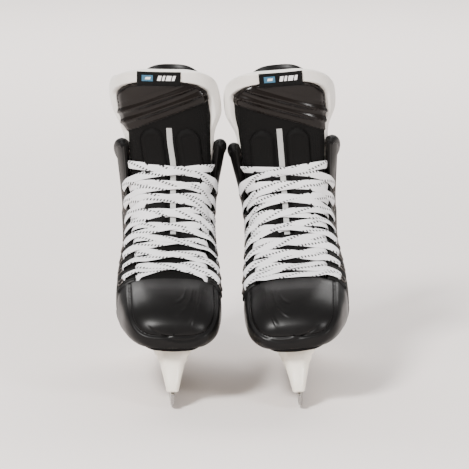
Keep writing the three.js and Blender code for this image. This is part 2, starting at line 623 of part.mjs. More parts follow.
// ---------- the pair ----------
const pair = new THREE.Group();
const pieces = skatePieces();
for (const wearer of ["right", "left"]) {
  const outward = wearer === "left" ? 1 : -1;
  const skate = new THREE.Group();
  for (const [name, [made, material]] of Object.entries(pieces)) {
    const mesh = new THREE.Mesh(geometry(made), material);
    mesh.name = `${wearer}_${name}`;
    mesh.scale.x = outward;
    mesh.position.y = -TIP_Y;
    skate.add(mesh);
  }
  const turn = new THREE.Matrix4().makeRotationY(THREE.MathUtils.degToRad(-outward * LEAN[wearer]));
  turn.multiply(new THREE.Matrix4().makeRotationZ(THREE.MathUtils.degToRad(-outward * TOE_IN[wearer])));
  skate.applyMatrix4(turn);
  skate.position.set(RUNNER_X[wearer], TIP_Y, (RUNNER_T / 2) * Math.sin(THREE.MathUtils.degToRad(LEAN[wearer])));
  pair.add(skate);
}
// the origin is the centre of the pair's bottom
const box = new THREE.Box3().setFromObject(pair, true);
const centre = box.getCenter(new THREE.Vector3());
pair.position.set(-centre.x, -centre.y, -box.min.z);

export default pair;
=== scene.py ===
"""Looks for a pair of ice hockey skates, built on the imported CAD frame.

Lengths are in millimetres in each skate's own frame (lateral side +x, toe -y, floor z = 0) until place() puts a
mesh into the row frame in metres.
"""

import json
import math

import bpy
import numpy as np
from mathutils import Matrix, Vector, geometry


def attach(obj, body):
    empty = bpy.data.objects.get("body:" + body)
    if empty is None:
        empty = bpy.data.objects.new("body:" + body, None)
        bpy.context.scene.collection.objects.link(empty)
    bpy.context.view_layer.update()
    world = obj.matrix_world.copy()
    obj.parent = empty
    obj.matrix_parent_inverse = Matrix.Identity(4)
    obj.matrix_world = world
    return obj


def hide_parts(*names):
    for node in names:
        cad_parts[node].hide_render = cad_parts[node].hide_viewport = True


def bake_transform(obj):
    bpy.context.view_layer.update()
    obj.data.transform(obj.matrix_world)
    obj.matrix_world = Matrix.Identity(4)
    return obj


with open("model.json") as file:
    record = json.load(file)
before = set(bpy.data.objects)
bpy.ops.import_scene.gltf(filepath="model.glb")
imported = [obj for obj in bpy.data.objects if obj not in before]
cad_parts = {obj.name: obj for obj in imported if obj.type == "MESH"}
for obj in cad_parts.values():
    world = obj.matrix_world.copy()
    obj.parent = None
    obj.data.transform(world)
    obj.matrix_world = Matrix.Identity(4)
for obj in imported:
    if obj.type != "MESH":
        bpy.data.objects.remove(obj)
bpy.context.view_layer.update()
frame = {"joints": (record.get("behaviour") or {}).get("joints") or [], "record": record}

MM = 0.001
PI = math.pi

# ---------- sizes shared with the CAD part, in mm ----------
SOLE_Z = 61
SOLE_PITCH = 0.031
SOLE_T = 4
SOLE_GAP = 0.3  # clearance between the outsole and what lies on or under it
SHELL_T = 3.5
LINER_FOOT = 4  # how far the liner ends above the outsole
SEAM_PHI = 0.004  # half of the seam between the quarters
EYESTAY_V = 0.8  # share of a quarter's width behind its facing
TOE_CAP_END = 5
CUFF_TOP = 13.4
EYESTAY_T = 1.6
EYESTAY_W = 21
EYELETS = 8
EYELET_INSET = 14.5
EYELET_R = 3.4
EYELET_PITCH = 17
EYELET_START = 9
LACE_W = 7.8
LACE_REPEAT = 34  # length in which the tracer crosses the lace once
LACE_TUCK = 4.5  # how far a strip's end reaches under a facing
LACE_DIP = 4.2  # how deep its other end goes into the eyelet
TONGUE_OFF = -1.5  # how far the tongue's face lies below the boot's skin
FLAP_END = 15.45
HINGE_Y = -11.5
BEND_Z = (246.5, 260.5)  # heights at the flap's hinge, read by bend_across but not used to bend the tongue
FELT_END = 16
GUARD_TOP = 15.2
GUARD_V = 0.38  # how far round the ankle the tendon guard reaches at its foot
GUARD_TAPER = 0.25  # share by which it narrows at its top
LABEL_SHIFT = 4
HOLDER_Y = (-134, 136)
HOLDER_Z = 17
HOLDER_LOW = 5.75
HOLDER_HIGH = 17.2
FLANGE_HALF = 25.5
FLANGE_T = 3.0
WINDOW_Y = (-26, 40)
RUNNER_Y = (-138, 140)
RUNNER_T = 3
LABEL_HALF = 21
# how far the tongue's top stands off the middle, to the lateral side
LEAN = {"right": 10, "left": 0.5}

# Sections of the boot's skin: front point y, z and back point y, z (z above the sole), lateral and medial half
# widths, where along the section it is widest, and the superellipse exponents of its front and back.
STATIONS = np.array([
    [-141, 13.5, -141, 11.5, 1, 1, 0.5, 2, 2],
    [-138, 23.5, -139, 0.5, 24, 24, 0.5, 2.3, 2.3],
    [-130, 32.5, -132, -3.5, 36, 35, 0.5, 2.5, 2.4],
    [-117, 40.5, -118, -4.5, 43.5, 42, 0.5, 2.7, 2.6],
    [-98, 47.5, -98, -4.5, 48, 45, 0.5, 2.9, 2.8],
    [-74, 53.5, -74, -4.5, 51.5, 47, 0.5, 3.2, 3],
    [-54, 63.5, -36, -4, 53, 47.5, 0.48, 3.4, 3],
    [-35, 78.5, 8, -3.5, 50.5, 46.5, 0.48, 3.4, 2.8],
    [-20, 95.5, 62, -1.5, 47, 45, 0.48, 3.4, 2.5],
    [-11, 111.5, 115, 0.5, 45, 44, 0.5, 3.4, 2.3],
    [-6, 126.5, 145, 22.5, 45, 44.5, 0.5, 3.4, 2.2],
    [-3, 141.5, 139, 78.5, 47.5, 47, 0.52, 3.4, 2.2],
    [-3, 156.5, 130, 128.5, 51.5, 51, 0.55, 3.4, 2.2],
    [-6, 174.5, 129, 170.5, 55, 54.5, 0.58, 3.4, 2.2],
    [-12, 198.5, 131, 204.5, 55.5, 55.5, 0.6, 3.2, 2.2],
    [-20, 223.5, 136, 230.5, 56, 56, 0.6, 3, 2.2],
    [-29, 247.5, 141, 254.5, 56, 56, 0.6, 3, 2.2],
])
THROAT_HALF = np.array([35, 36, 37, 38.5, 40, 41, 42, 43.5, 45, 46])


def spline(rows, t):
    """Catmull-Rom value of rows at the fractional indices t."""
    t = np.asarray(t, float)
    last = len(rows) - 1
    i = np.clip(np.floor(t).astype(int), 0, last - 1)
    s = t - i
    if rows.ndim > 1:
        s = s[..., None]
    a, b, c, d = (rows[np.clip(i + k, 0, last)] for k in (-1, 0, 1, 2))
    return b + 0.5 * s * (c - a + s * (2 * a - 5 * b + 4 * c - d + s * (3 * (b - c) + d - a)))


def skin(t, phi, off=0.0):
    """Points of the boot's skin. phi is 0 at the back or sole, +-PI at the front, positive on the lateral side."""
    t, phi, off = np.broadcast_arrays(np.asarray(t, float), np.asarray(phi, float), np.asarray(off, float))
    fy, fz, ky, kz, wl, wm, c, nf, nb = np.moveaxis(spline(STATIONS, t), -1, 0)
    fz, kz = fz + SOLE_Z, kz + SOLE_Z
    a = np.clip(np.abs(phi), 0, PI)
    length = np.maximum(np.hypot(fy - ky, fz - kz), 1e-6)
    dy, dz = (fy - ky) / length, (fz - kz) / length
    upper = a > PI / 2
    n = np.where(upper, nf, nb)
    wide = np.maximum(np.sin(a), 0) ** (2 / n)
    tall = np.abs(np.cos(a)) ** (2 / n)
    along = np.where(upper, c + (1 - c) * tall, c * (1 - tall))
    w = np.maximum(np.where(phi >= 0, wl, wm) + off, 0.1)
    span = length + 2 * off
    tip = -off * np.clip((-100 - ky) / 40, 0, 1)
    side = np.where(phi >= 0, 1, -1)
    return np.stack([side * w * wide, ky - dy * off + dy * span * along + tip, kz - dz * off + dz * span * along], -1)


def throat_half(t):
    return spline(THROAT_HALF, np.minimum(np.asarray(t, float), CUFF_TOP + 0.6) - 5)


def path_length(points):
    """Distance along a path of points, from 0 at the first."""
    return np.concatenate([[0], np.cumsum(np.linalg.norm(np.diff(points, axis=0), axis=1))])


FINE = 1 - np.linspace(0, 1, 240) ** 2.2  # phi / PI, crowded at the front, where the section is boxy
_arcs = {}


def arc_table(t, side):
    """phi and the distance round the skin from the front's middle, for one section and side."""
    key = (round(float(t), 4), side)
    if key not in _arcs:
        phi = side * PI * FINE
        points = skin(key[0], phi)
        _arcs[key] = (phi, path_length(points))
    return _arcs[key]


def phi_at(t, arc):
    """phi at a signed distance round the skin from the front's middle; positive is lateral."""
    t, arc = np.broadcast_arrays(np.asarray(t, float), np.asarray(arc, float))
    found = np.empty(t.shape)
    for place in np.ndindex(t.shape):
        phi, lengths = arc_table(t[place], 1 if arc[place] >= 0 else -1)
        found[place] = np.interp(abs(arc[place]), lengths, phi)
    return found


def on_skin(t, arc, off=0.0):
    return skin(t, phi_at(t, arc), off)


def smooth(x, a, b):
    """0 before a, 1 after b."""
    s = np.clip((x - a) / (b - a), 0, 1)
    return s * s * (3 - 2 * s)


def ridge(x, middle, width):
    return np.exp(-(((x - middle) / width) ** 2))


def sole_z(y):
    return SOLE_Z + SOLE_PITCH * y


def stand_on_sole(points, lift):
    """Keeps points that far above the outsole's upper face."""
    points[..., 2] = np.maximum(points[..., 2], sole_z(points[..., 1]) + SOLE_T + lift)


# ---------- the two skates ----------
class Skate:
    """One skate's name and its frame in the row."""

    def __init__(self, wearer):
        self.wearer = wearer
        self.outward = 1 if wearer == "left" else -1
        rest = next(m for m in frame["record"]["mounts"] if m["name"] == f"{wearer}_runner_rest")
        flex = next(j for j in frame["joints"] if j["name"] == f"{wearer}_tongue_flex")
        across = Vector(flex["axis"]).normalized()
        up = -Vector(rest["axis"]).normalized()
        back = up.cross(across).normalized()
        self.axes = np.array([across * self.outward, back, up])
        self.origin = np.array(rest["pos_m"])

    def body(self, name):
        return f"{self.wearer}_{name}"

    def place(self, points):
        return self.origin + MM * np.asarray(points, float) @ self.axes


def add_mesh(skate, name, points, faces, uv=None, values=None, sharp=40):
    """A mesh of one skate from points in its own frame; uv and values are stored for the shaders."""
    mesh = bpy.data.meshes.new(f"{skate.wearer}_{name}")
    if skate.outward < 0:
        faces = [tuple(reversed(f)) for f in faces]
    mesh.from_pydata(skate.place(points).tolist(), [], faces)
    if uv is not None:
        layer = mesh.uv_layers.new(name="UVMap")
        index = np.zeros(len(mesh.loops), np.int32)
        mesh.loops.foreach_get("vertex_index", index)
        layer.data.foreach_set("uv", np.asarray(uv, np.float32)[index].ravel())
    for key, value in (values or {}).items():
        attribute = mesh.attributes.new(key, "FLOAT", "POINT")
        attribute.data.foreach_set("value", np.asarray(value, np.float32))
    mesh.polygons.foreach_set("use_smooth", np.ones(len(mesh.polygons), bool))
    mesh.set_sharp_from_angle(angle=math.radians(sharp))
    mesh.update()
    obj = bpy.data.objects.new(mesh.name, mesh)
    bpy.context.scene.collection.objects.link(obj)
    return obj


def quads(rows, cols, start=0, flip=False, wrap=False):
    """Faces of a grid of points whose first index is start."""
    faces = []
    for i in range(rows - 1):
        for j in range(cols if wrap else cols - 1):
            k = (j + 1) % cols
            a, b = start + i * cols, start + (i + 1) * cols
            face = (a + j, b + j, b + k, a + k)
            faces.append(face[::-1] if flip else face)
    return faces


def shell(skate, name, outer, inner, uv=None, values=None, wrap=False, sharp=40):
    """The closed solid between two grids of points of the same size."""
    rows, cols = outer.shape[:2]
    count = rows * cols
    faces = quads(rows, cols, 0, False, wrap) + quads(rows, cols, count, True, wrap)
    around = range(cols) if wrap else range(cols - 1)
    for j in around:
        k = (j + 1) % cols
        faces.append((j, k, count + k, count + j))
        last = (rows - 1) * cols
        faces.append((last + k, last + j, count + last + j, count + last + k))
    if not wrap:
        for i in range(rows - 1):
            a, b = i * cols, (i + 1) * cols
            faces.append((b, a, count + a, count + b))
            a, b = a + cols - 1, b + cols - 1
            faces.append((a, b, count + b, count + a))
    points = np.concatenate([outer.reshape(-1, 3), inner.reshape(-1, 3)])
    both = lambda v: np.concatenate([v, v])
    if uv is not None:
        uv = both(uv.reshape(-1, 2))
    values = {k: both(np.ravel(v)) for k, v in (values or {}).items()}
    return add_mesh(skate, name, points, faces, uv, values, sharp)


def grid_uv(points):
    """Distances along and across a grid of points, in mm, for patterns of real size."""
    steps = np.linalg.norm(np.diff(points, axis=1), axis=2)
    across = np.concatenate([np.zeros((len(points), 1)), np.cumsum(steps, 1)], 1)
    across -= across[:, across.shape[1] // 2][:, None]
    middle = points[:, points.shape[1] // 2]
    along = path_length(middle)
    return np.stack([np.broadcast_to(along[:, None], across.shape), across], -1)


def sweep(skate, name, rings, flip=True, uv=None, sharp=40):
    """A closed solid through rings of points, with a face over each end."""
    rows, sides = rings.shape[:2]
    first, last = tuple(range(sides)), tuple(range((rows - 1) * sides, rows * sides))
    faces = quads(rows, sides, 0, flip, True) + ([first, last[::-1]] if flip else [first[::-1], last])
    return add_mesh(skate, name, rings.reshape(-1, 3), faces, uv, sharp=sharp)


def top_uv(points):
    """Places along and across, for a piece that is seen from above."""
    return points.reshape(-1, 3)[:, [1, 0]]


def tube(skate, name, path, radius, sides=12, closed=False):
    """A round tube along path; radius is one value or one per point."""
    path = np.asarray(path, float)
    radius = np.broadcast_to(np.asarray(radius, float), (len(path),))
    ahead = np.roll(path, -1, 0) - np.roll(path, 1, 0)
    if not closed:
        ahead[0], ahead[-1] = path[1] - path[0], path[-1] - path[-2]
    ahead /= np.linalg.norm(ahead, axis=1)[:, None]
    normal = np.cross(ahead[0], [0.3, 0.9, 0.3])
    rings = []
    for k in range(len(path)):
        normal = normal - ahead[k] * normal.dot(ahead[k])
        normal /= np.linalg.norm(normal)
        other = np.cross(ahead[k], normal)
        angle = np.linspace(0, 2 * PI, sides, endpoint=False)[:, None]
        rings.append(path[k] + radius[k] * (np.cos(angle) * normal + np.sin(angle) * other))
    points = np.array(rings)
    uv = np.stack(np.broadcast_arrays(path_length(path)[:, None], np.linspace(0, 1, sides)[None]), -1).reshape(-1, 2)
    if not closed:
        return sweep(skate, name, points, True, uv, 70)
    last = (len(path) - 1) * sides
    faces = quads(len(path), sides, 0, True, True)
    faces += [(last + (j + 1) % sides, (j + 1) % sides, j, last + j) for j in range(sides)]
    return add_mesh(skate, name, points.reshape(-1, 3), faces, uv, sharp=70)


# ---------- materials ----------
class Paint:
    """A material built from a few nodes; inputs may be values or other nodes' outputs."""

    def __init__(self, name, color, roughness, **inputs):
        self.material = bpy.data.materials.new(name)
        self.material.use_nodes = True
        self.tree = self.material.node_tree
        self.shader = self.tree.nodes["Principled BSDF"]
        self.height = None
        self.set(self.shader, Base_Color=(*color, 1), Roughness=roughness, **inputs)

    def set(self, node, **inputs):
        for key, value in inputs.items():
            socket = node.inputs[int(key[1:])] if key[0] == "_" else node.inputs[key.replace("_", " ")]
            if isinstance(value, bpy.types.NodeSocket):
                self.tree.links.new(value, socket)
            else:
                socket.default_value = value
        return node

    def node(self, kind, out=0, settings=None, **inputs):
        node = self.tree.nodes.new(kind)
        for key, value in (settings or {}).items():
            setattr(node, key, value)
        self.set(node, **inputs)
        return node.outputs[out]

    def math(self, operation, a, b=0.0, c=0.0):
        return self.node("ShaderNodeMath", settings={"operation": operation}, _0=a, _1=b, _2=c)

    def place(self):
        return self.node("ShaderNodeTexCoord", out="Object")

    def uv(self):
        split = self.tree.nodes.new("ShaderNodeSeparateXYZ")
        self.set(split, _0=self.node("ShaderNodeTexCoord", out="UV"))
        return split.outputs[0], split.outputs[1]

    def value(self, name):
        return self.node("ShaderNodeAttribute", out="Fac", settings={"attribute_name": name})

    def noise(self, scale, detail=3.0, stretch=None, coordinates=None):
        where = coordinates or self.place()
        if stretch:
            where = self.node("ShaderNodeMapping", _0=where, Scale=stretch)
        return self.node("ShaderNodeTexNoise", Vector=where, Scale=scale, Detail=detail)

    def ramp(self, fac, low, high, at=(0.3, 0.7)):
        ramp = self.tree.nodes.new("ShaderNodeMapRange")
        self.set(ramp, _0=fac, _1=at[0], _2=at[1], _3=low, _4=high)
        return ramp.outputs[0]

    def mix(self, fac, a, b):
        mix = self.tree.nodes.new("ShaderNodeMix")
        mix.data_type = "RGBA"
        for socket, value in ((mix.inputs["Factor"], fac), (mix.inputs[6], a), (mix.inputs[7], b)):
            if isinstance(value, bpy.types.NodeSocket):
                self.tree.links.new(value, socket)
            else:
                socket.default_value = (*value, 1) if isinstance(value, tuple) and len(value) == 3 else value
        return mix.outputs[2]

    def bump(self, height, distance, strength=1.0):
        """Adds a bump of so many metres; several stack."""
        inputs = {"Height": height, "Distance": distance, "Strength": strength}
        if self.height is not None:
            inputs["Normal"] = self.height
        self.height = self.node("ShaderNodeBump", **inputs)
        self.set(self.shader, Normal=self.height)

    def weave(self, along, across, pitch):
        """A plain weave of threads with that pitch, from 0 to 1."""
        wave = lambda v: self.math("SINE", self.math("MULTIPLY", v, 2 * PI / pitch))
        return self.math("MULTIPLY_ADD", self.math("MULTIPLY", wave(along), wave(across)), 0.5, 0.5)


def plastic(name, color, roughness, grain=0.00003, scale=1400.0, wear=0.12, **inputs):
    """Moulded plastic with a fine grain and slightly uneven gloss."""
    p = Paint(name, color, roughness, **inputs)
    p.set(p.shader, Roughness=p.ramp(p.noise(38.0, 5.0), roughness - wear / 2, roughness + wear / 2))
    p.bump(p.noise(scale, 2.0), grain)
    p.bump(p.noise(60.0, 2.0), 0.0004, 0.25)
    return p


def cloth(name, color, pitch=1.1, depth=0.00025, sheen=0.25, roughness=0.85):
    """Woven fabric with threads of that pitch in mm."""
    p = Paint(name, color, roughness, Sheen_Weight=sheen, Sheen_Roughness=0.5, Specular_IOR_Level=0.12)
    along, across = p.uv()
    threads = p.weave(along, across, pitch)
    dark = tuple(c * 0.7 for c in color)
    p.set(p.shader, Base_Color=p.mix(threads, dark, color))
    p.bump(threads, depth)
    p.bump(p.noise(700.0, 3.0), 0.0001)
    return p


def make_materials():
    made = {}
    made["cap"] = plastic("cap_black", (0.0045, 0.0042, 0.0042), 0.34, Specular_IOR_Level=0.15)
    made["trim"] = plastic("trim_black", (0.004, 0.004, 0.004), 0.42, Specular_IOR_Level=0.12)
    made["sole"] = plastic("sole_black", (0.004, 0.004, 0.004), 0.5, Specular_IOR_Level=0.1)

    p = Paint("quarter_black", (0.005, 0.0045, 0.0043), 0.5, Specular_IOR_Level=0.08)
    along, across = p.uv()
    diamond = p.weave(p.math("ADD", along, across), p.math("SUBTRACT", along, across), 4.2)
    stripe = p.math("MULTIPLY_ADD", p.math("SINE", p.math("MULTIPLY", across, 2 * PI / 2.6)), 0.5, 0.5)
    stripe = p.math("MULTIPLY", p.math("POWER", stripe, 3.0), p.ramp(p.noise(40.0, 4.0), 0.0, 1.0, (0.4, 0.65)))
    p.set(p.shader, Base_Color=p.mix(stripe, (0.0042, 0.0038, 0.0036), (0.012, 0.0104, 0.0096)))
    p.set(p.shader, Roughness=p.ramp(p.noise(45.0, 4.0), 0.44, 0.6))
    p.bump(p.ramp(diamond, 0.0, 1.0, (0.35, 0.65)), 0.00016)
    p.bump(p.noise(1300.0, 2.0), 0.00004)
    made["quarter"] = p

    p = Paint("eyestay_black", (0.0045, 0.0042, 0.004), 0.4, Specular_IOR_Level=0.13)
    p.set(p.shader, Roughness=p.ramp(p.noise(60.0, 4.0), 0.34, 0.5))
    p.bump(p.noise(900.0, 3.0), 0.00006)
    made["eyestay"] = p

    # tongue: matte quilted fabric, finer where the mesh value is 1, and the glossy moulded panel above it
    p = Paint("tongue_fabric", (0.005, 0.0048, 0.0047), 0.66, Specular_IOR_Level=0.06)
    along, across = p.uv()
    threads = p.weave(along, across, 1.3)
    quilt = p.weave(p.math("ADD", along, across), p.math("SUBTRACT", along, across), 5.0)
    p.bump(p.math("ADD", p.math("MULTIPLY", threads, 0.5), p.math("MULTIPLY", quilt, p.value("mesh"))), 0.00028)
    p.bump(p.noise(1100.0, 3.0), 0.00004)
    made["tongue"] = p
    p = Paint("tongue_panel", (0.005, 0.0034, 0.0027), 0.2, Specular_IOR_Level=0.2)
    p.set(p.shader, Roughness=p.ramp(p.noise(50.0, 4.0), 0.15, 0.26))
    p.bump(p.noise(1500.0, 2.0), 0.00002)
    made["panel"] = p

    p = Paint("felt_white", (0.76, 0.73, 0.68), 0.95, Sheen_Weight=0.35, Sheen_Roughness=0.6)
    p.set(p.shader, Base_Color=p.mix(p.ramp(p.noise(30.0, 5.0), 0, 1), (0.70, 0.665, 0.61), (0.80, 0.77, 0.725)))
    p.bump(p.noise(900.0, 6.0), 0.0005, 0.7)
    p.bump(p.noise(140.0, 4.0), 0.0008, 0.35)
    made["felt"] = p

    # lace: flat weave with a dashed black tracer that crosses it slantwise again and again
    p = Paint("lace_white", (0.78, 0.775, 0.79), 0.75, Sheen_Weight=0.3)
    along, across = p.uv()
    run = p.math("FRACT", p.math("DIVIDE", along, LACE_REPEAT))
    line = p.math("MULTIPLY_ADD", run, 1.3, -0.15)
    near = p.math("LESS_THAN", p.math("ABSOLUTE", p.math("SUBTRACT", across, line)), 0.15)
    slant = p.math("ADD", p.math("DIVIDE", along, 3.9), p.math("MULTIPLY", across, 1.7))
    dash = p.math("LESS_THAN", p.math("FRACT", slant), 0.5)
    tracer = p.math("MULTIPLY", near, dash)
    chevron = p.math("ADD", along, p.math("MULTIPLY", p.math("ABSOLUTE", p.math("SUBTRACT", across, 0.5)), 6.0))
    ribs = p.math("SINE", p.math("MULTIPLY", chevron, 2 * PI / 0.9))
    cords = p.math("SINE", p.math("MULTIPLY", across, 2 * PI * 9))
    threads = p.math("MULTIPLY_ADD", p.math("ADD", ribs, cords), 0.25, 0.5)
    white = p.mix(threads, (0.72, 0.712, 0.73), (0.9, 0.895, 0.91))
    p.set(p.shader, Base_Color=p.mix(tracer, white, (0.02, 0.02, 0.022)))
    p.bump(threads, 0.00022)
    made["lace"] = p

    made["lining"] = cloth("lining_grey", (0.05, 0.05, 0.053), 1.6, 0.0003, 0.5)
    made["collar"] = cloth("collar_black", (0.004, 0.0038, 0.004), 1.8, 0.0002, 0.0, 0.42)
    made["label"] = cloth("label_black", (0.004, 0.004, 0.004), 0.5, 0.0001, 0.0, 0.7)
    made["mark_white"] = Paint("mark_white", (0.8, 0.8, 0.8), 0.6)
    made["mark_blue"] = Paint("mark_blue", (0.02, 0.10, 0.17), 0.5)

    p = Paint("silver_tape", (0.42, 0.42, 0.41), 0.42, Metallic=0.35)
    along, across = p.uv()
    p.bump(p.weave(along, across, 0.7), 0.00012)
    made["silver"] = p

    p = Paint("holder_white", (0.88, 0.825, 0.715), 0.28, Subsurface_Weight=0.1, Coat_Weight=0.25)
    p.set(p.shader, Subsurface_Radius=(0.004, 0.003, 0.002), Roughness=p.ramp(p.noise(30.0, 5.0), 0.26, 0.38))
    p.bump(p.noise(500.0, 2.0), 0.00002)
    made["holder"] = p

    p = Paint("runner_steel", (0.36, 0.35, 0.34), 0.26, Metallic=1.0)
    streaks = p.noise(260.0, 4.0, stretch=(1.0, 0.03, 1.0))
    p.set(p.shader, Roughness=p.ramp(streaks, 0.16, 0.34))
    p.bump(streaks, 0.00002)
    made["steel"] = p

    made["dark_metal"] = plastic("dark_metal", (0.09, 0.08, 0.075), 0.38, Metallic=0.8)
    return {key: p.material for key, p in made.items()}


MATERIALS = make_materials()


def finish_piece(obj, material, body, *nodes):
    """Gives a piece its material, the body it rides on and the CAD nodes it stands for."""
    obj.data.materials.append(MATERIALS[material])
    if body:
        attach(obj, body)
    if nodes:
        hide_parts(*nodes)
    return obj


# ---------- boot pieces ----------
def even_phi(ts, start, stop, count):
    """A grid of phi, evenly spaced round the skin from start to stop in each row."""
    rows = []
    for t in ts:
        dense = np.linspace(start, stop, 500)
        lengths = path_length(skin(float(t), dense))
        rows.append(np.interp(np.linspace(0, 1, count) * lengths[-1], lengths, dense))
    return np.array(rows)


def cap_relief(points):
    """Height of the toe cap's moulded lines at points of its skin, in mm."""
    x, y, z = np.moveaxis(points, -1, 0)
    rim = (np.abs(x) / 40.5) ** 4 + (np.clip(115.5 - z, 0, None) / 43) ** 4
    groove = -0.9 * ridge(rim, 1.0, 0.09) + 0.9 * smooth(rim, 1.0, 1.25)
    front = smooth(-y, 60, 90)
    swoosh = 0.0
    for radius in (10, 16, 23):
        away = np.hypot(x + 2, (y + 97) / 2.2) - radius
        turn = np.arctan2(-(y + 97) / 2.2, -(x + 2))
        reach = smooth(turn, -0.3, 0.2) * (1 - smooth(turn, 1.1, 1.8)) * smooth(z, 80, 88)
        swoosh = swoosh + (0.45 * smooth(away, -2.2, 0.2) - 0.45 * smooth(away, 0.2, 1.2)) * reach
    lower = z - 69 - 0.012 * (x + 8) ** 2
    crease = -0.9 * ridge(lower, 0, 1.3) * smooth(-x, -26, -12) * (1 - smooth(-x, 22, 34)) * smooth(-y, 118, 128)
    return (groove + crease) * front + swoosh


def make_toe_cap(skate):
    ts = np.concatenate([np.linspace(0.03, 1, 26) ** 1.6, np.linspace(1, TOE_CAP_END, 90)[1:]])
    phi = even_phi(ts, -PI, PI, 241)[:, :-1]
    grid = (ts[:, None], phi)
    outer = skin(*grid, cap_relief(skin(*grid)))
    inner = skin(*grid, -SHELL_T)
    stand_on_sole(outer, SOLE_GAP)
    stand_on_sole(inner, 2 * SOLE_GAP)
    obj = shell(skate, "toe_cap_shell", outer, inner, grid_uv(outer), wrap=True)
    return finish_piece(obj, "cap", skate.body("skate"), skate.body("toe_cap"))


def sole_outline(inset, end=12.0, count=120):
    """Half of the boot's outline at the outsole, [x, y] from the toe's tip to the heel, on both sides."""
    sides = []
    for side in (1, -1):
        found = []
        for t in np.concatenate([[0.02, 0.2, 0.5], np.linspace(0.9, end, count)]):
            phi = side * np.linspace(0, PI * 0.6, 160)
            points = skin(t, phi, -inset)
            above = points[:, 2] - (sole_z(points[:, 1]) + SOLE_T / 2)
            crossing = np.nonzero((above[:-1] < 0) & (above[1:] >= 0))[0]
            if len(crossing):
                found.append(points[crossing[-1], :2])
        sides.append(found)
    return sides


def edges_at(sides, ys):
    """x of each side's outline at every y."""
    edges = []
    for side in sides:
        side = sorted(side, key=lambda p: p[1])
        edges.append(np.interp(ys, [p[1] for p in side], [p[0] for p in side]))
    return edges


def make_outsole(skate):
    lateral, medial = sole_outline(0.2)
    heel = min(max(p[1] for p in lateral), max(p[1] for p in medial))
    ys = np.linspace(max(lateral[0][1], medial[0][1]), heel, 150)
    edges = edges_at((lateral, medial), ys)
    rows = []
    for y, right, left in zip(ys, *edges):
        mid, half = (right + left) / 2, (right - left) / 2
        end = min(abs(y - ys[0]), abs(y - ys[-1])) / 6
        half *= math.sqrt(max(1 - (1 - min(end, 1)) ** 2, 0.02))
        ring = []
        for fx, fz in ((-1, 0.35), (-1, 0.65), (-0.985, 0.9), (-0.95, 1), (0, 1), (0.95, 1), (0.985, 0.9), (1, 0.65),
                       (1, 0.35), (0.985, 0.1), (0.95, 0), (0, 0), (-0.95, 0), (-0.985, 0.1)):
            ring.append([mid + half * fx, y, sole_z(y) + SOLE_T * fz])
        rows.append(ring)
    rows = np.array(rows)
    obj = sweep(skate, "outsole_plate", rows, True, top_uv(rows))
    return finish_piece(obj, "sole", skate.body("skate"), skate.body("outsole"))


def cuff_top(v):
    """Station of the quarters' top edge; v runs from the back seam, 0, to the throat edge, 1."""
    return CUFF_TOP - 0.85 * np.sin(PI * v**0.9) ** 1.5 - 0.5 * v**8


def boot_grid(side, vs, rows, inset_t=0.0):
    """Stations and phi of a grid over one quarter; v from 0 at the back or sole to 1 at the throat edge."""
    start = TOE_CAP_END + 0.02
    s = np.linspace(0, 1, rows)[:, None]
    ts = start + (cuff_top(vs)[None] - inset_t - start) * s
    phi = np.empty(ts.shape)
    for place in np.ndindex(ts.shape):
        t = ts[place]
        edge = throat_edge(t)
        inner = eyestay_edge(t, side)
        v = vs[place[1]]
        if v < EYESTAY_V:
            phi[place] = SEAM_PHI + (inner - SEAM_PHI) * v / EYESTAY_V
        else:
            phi[place] = inner + (edge[side] - inner) * (v - 0.8) / 0.2
    return ts, side * phi


_edges = {}


def throat_edge(t):
    """|phi| of the throat edge at a station, by side."""
    key = round(float(t), 2)
    if key not in _edges:
        sections = spline(STATIONS, key)
        found = {}
        for side in (1, -1):
            w = sections[4] if side > 0 else sections[5]
            half = min(float(throat_half(key)) / w, 0.999)
            found[side] = PI - math.asin(half ** (sections[7] / 2))
            phi, lengths = arc_table(key, side)
            edge_arc = np.interp(-found[side], -np.abs(phi), lengths)
            found[(side, "inner")] = float(np.interp(edge_arc + EYESTAY_W, lengths, np.abs(phi)))
        _edges[key] = found
    return _edges[key]


def eyestay_edge(t, side):
    return throat_edge(t)[(side, "inner")]


def make_quarter(skate, side, name):
    vs = np.concatenate([np.linspace(0, 0.8, 84), np.linspace(0.8, 1, 16)[1:]])
    ts, phi = boot_grid(side, vs, 110)
    base = skin(ts, phi)
    y, z = base[..., 1], base[..., 2]
    v = np.broadcast_to(vs[None], ts.shape)
    s = np.linspace(0, 1, len(ts))[:, None]
    counter = 0.9 * smooth(y, 66 - 0.25 * (z - 60), 69 - 0.25 * (z - 60)) * (1 - smooth(z, 153, 156))
    band = 0.7 * (smooth(s, 0.0, 0.012) - smooth(s, 0.5, 0.52)) * (1 - smooth(z - sole_z(y), 17, 19))
    seam = -0.5 * ridge(v, 0.79, 0.004) + 0.9 * smooth(-v, -0.035, -0.025)
    collar = -0.9 * smooth(ts, cuff_top(vs)[None] - 0.5, cuff_top(vs)[None] - 0.4)
    top = -1.2 * smooth(s, 0.985, 1.0)
    edge = -1.0 * smooth(v, 0.985, 1.0)
    outer = skin(ts, phi, counter + band + seam + collar + top + edge)
    inner = skin(ts, phi, -SHELL_T)
    stand_on_sole(outer, SOLE_GAP)
    stand_on_sole(inner, 2 * SOLE_GAP)
    obj = shell(skate, f"{name}_shell", outer, inner, grid_uv(base))
    if side < 0:
        flip_faces(obj)
    return finish_piece(obj, "quarter", skate.body("skate"), skate.body(name))


def flip_faces(obj):
    obj.data.flip_normals()


def eyelet_stations():
    """Stations of the eyelets, spaced along the lateral throat edge; one more than there are, for the lace's end."""
    ts = np.arange(TOE_CAP_END, 14, 0.01)
    edge = np.array([skin(t, throat_edge(t)[1]) for t in ts])
    along = path_length(edge)
    return np.interp(EYELET_START + EYELET_PITCH * np.arange(EYELETS + 1), along, ts)


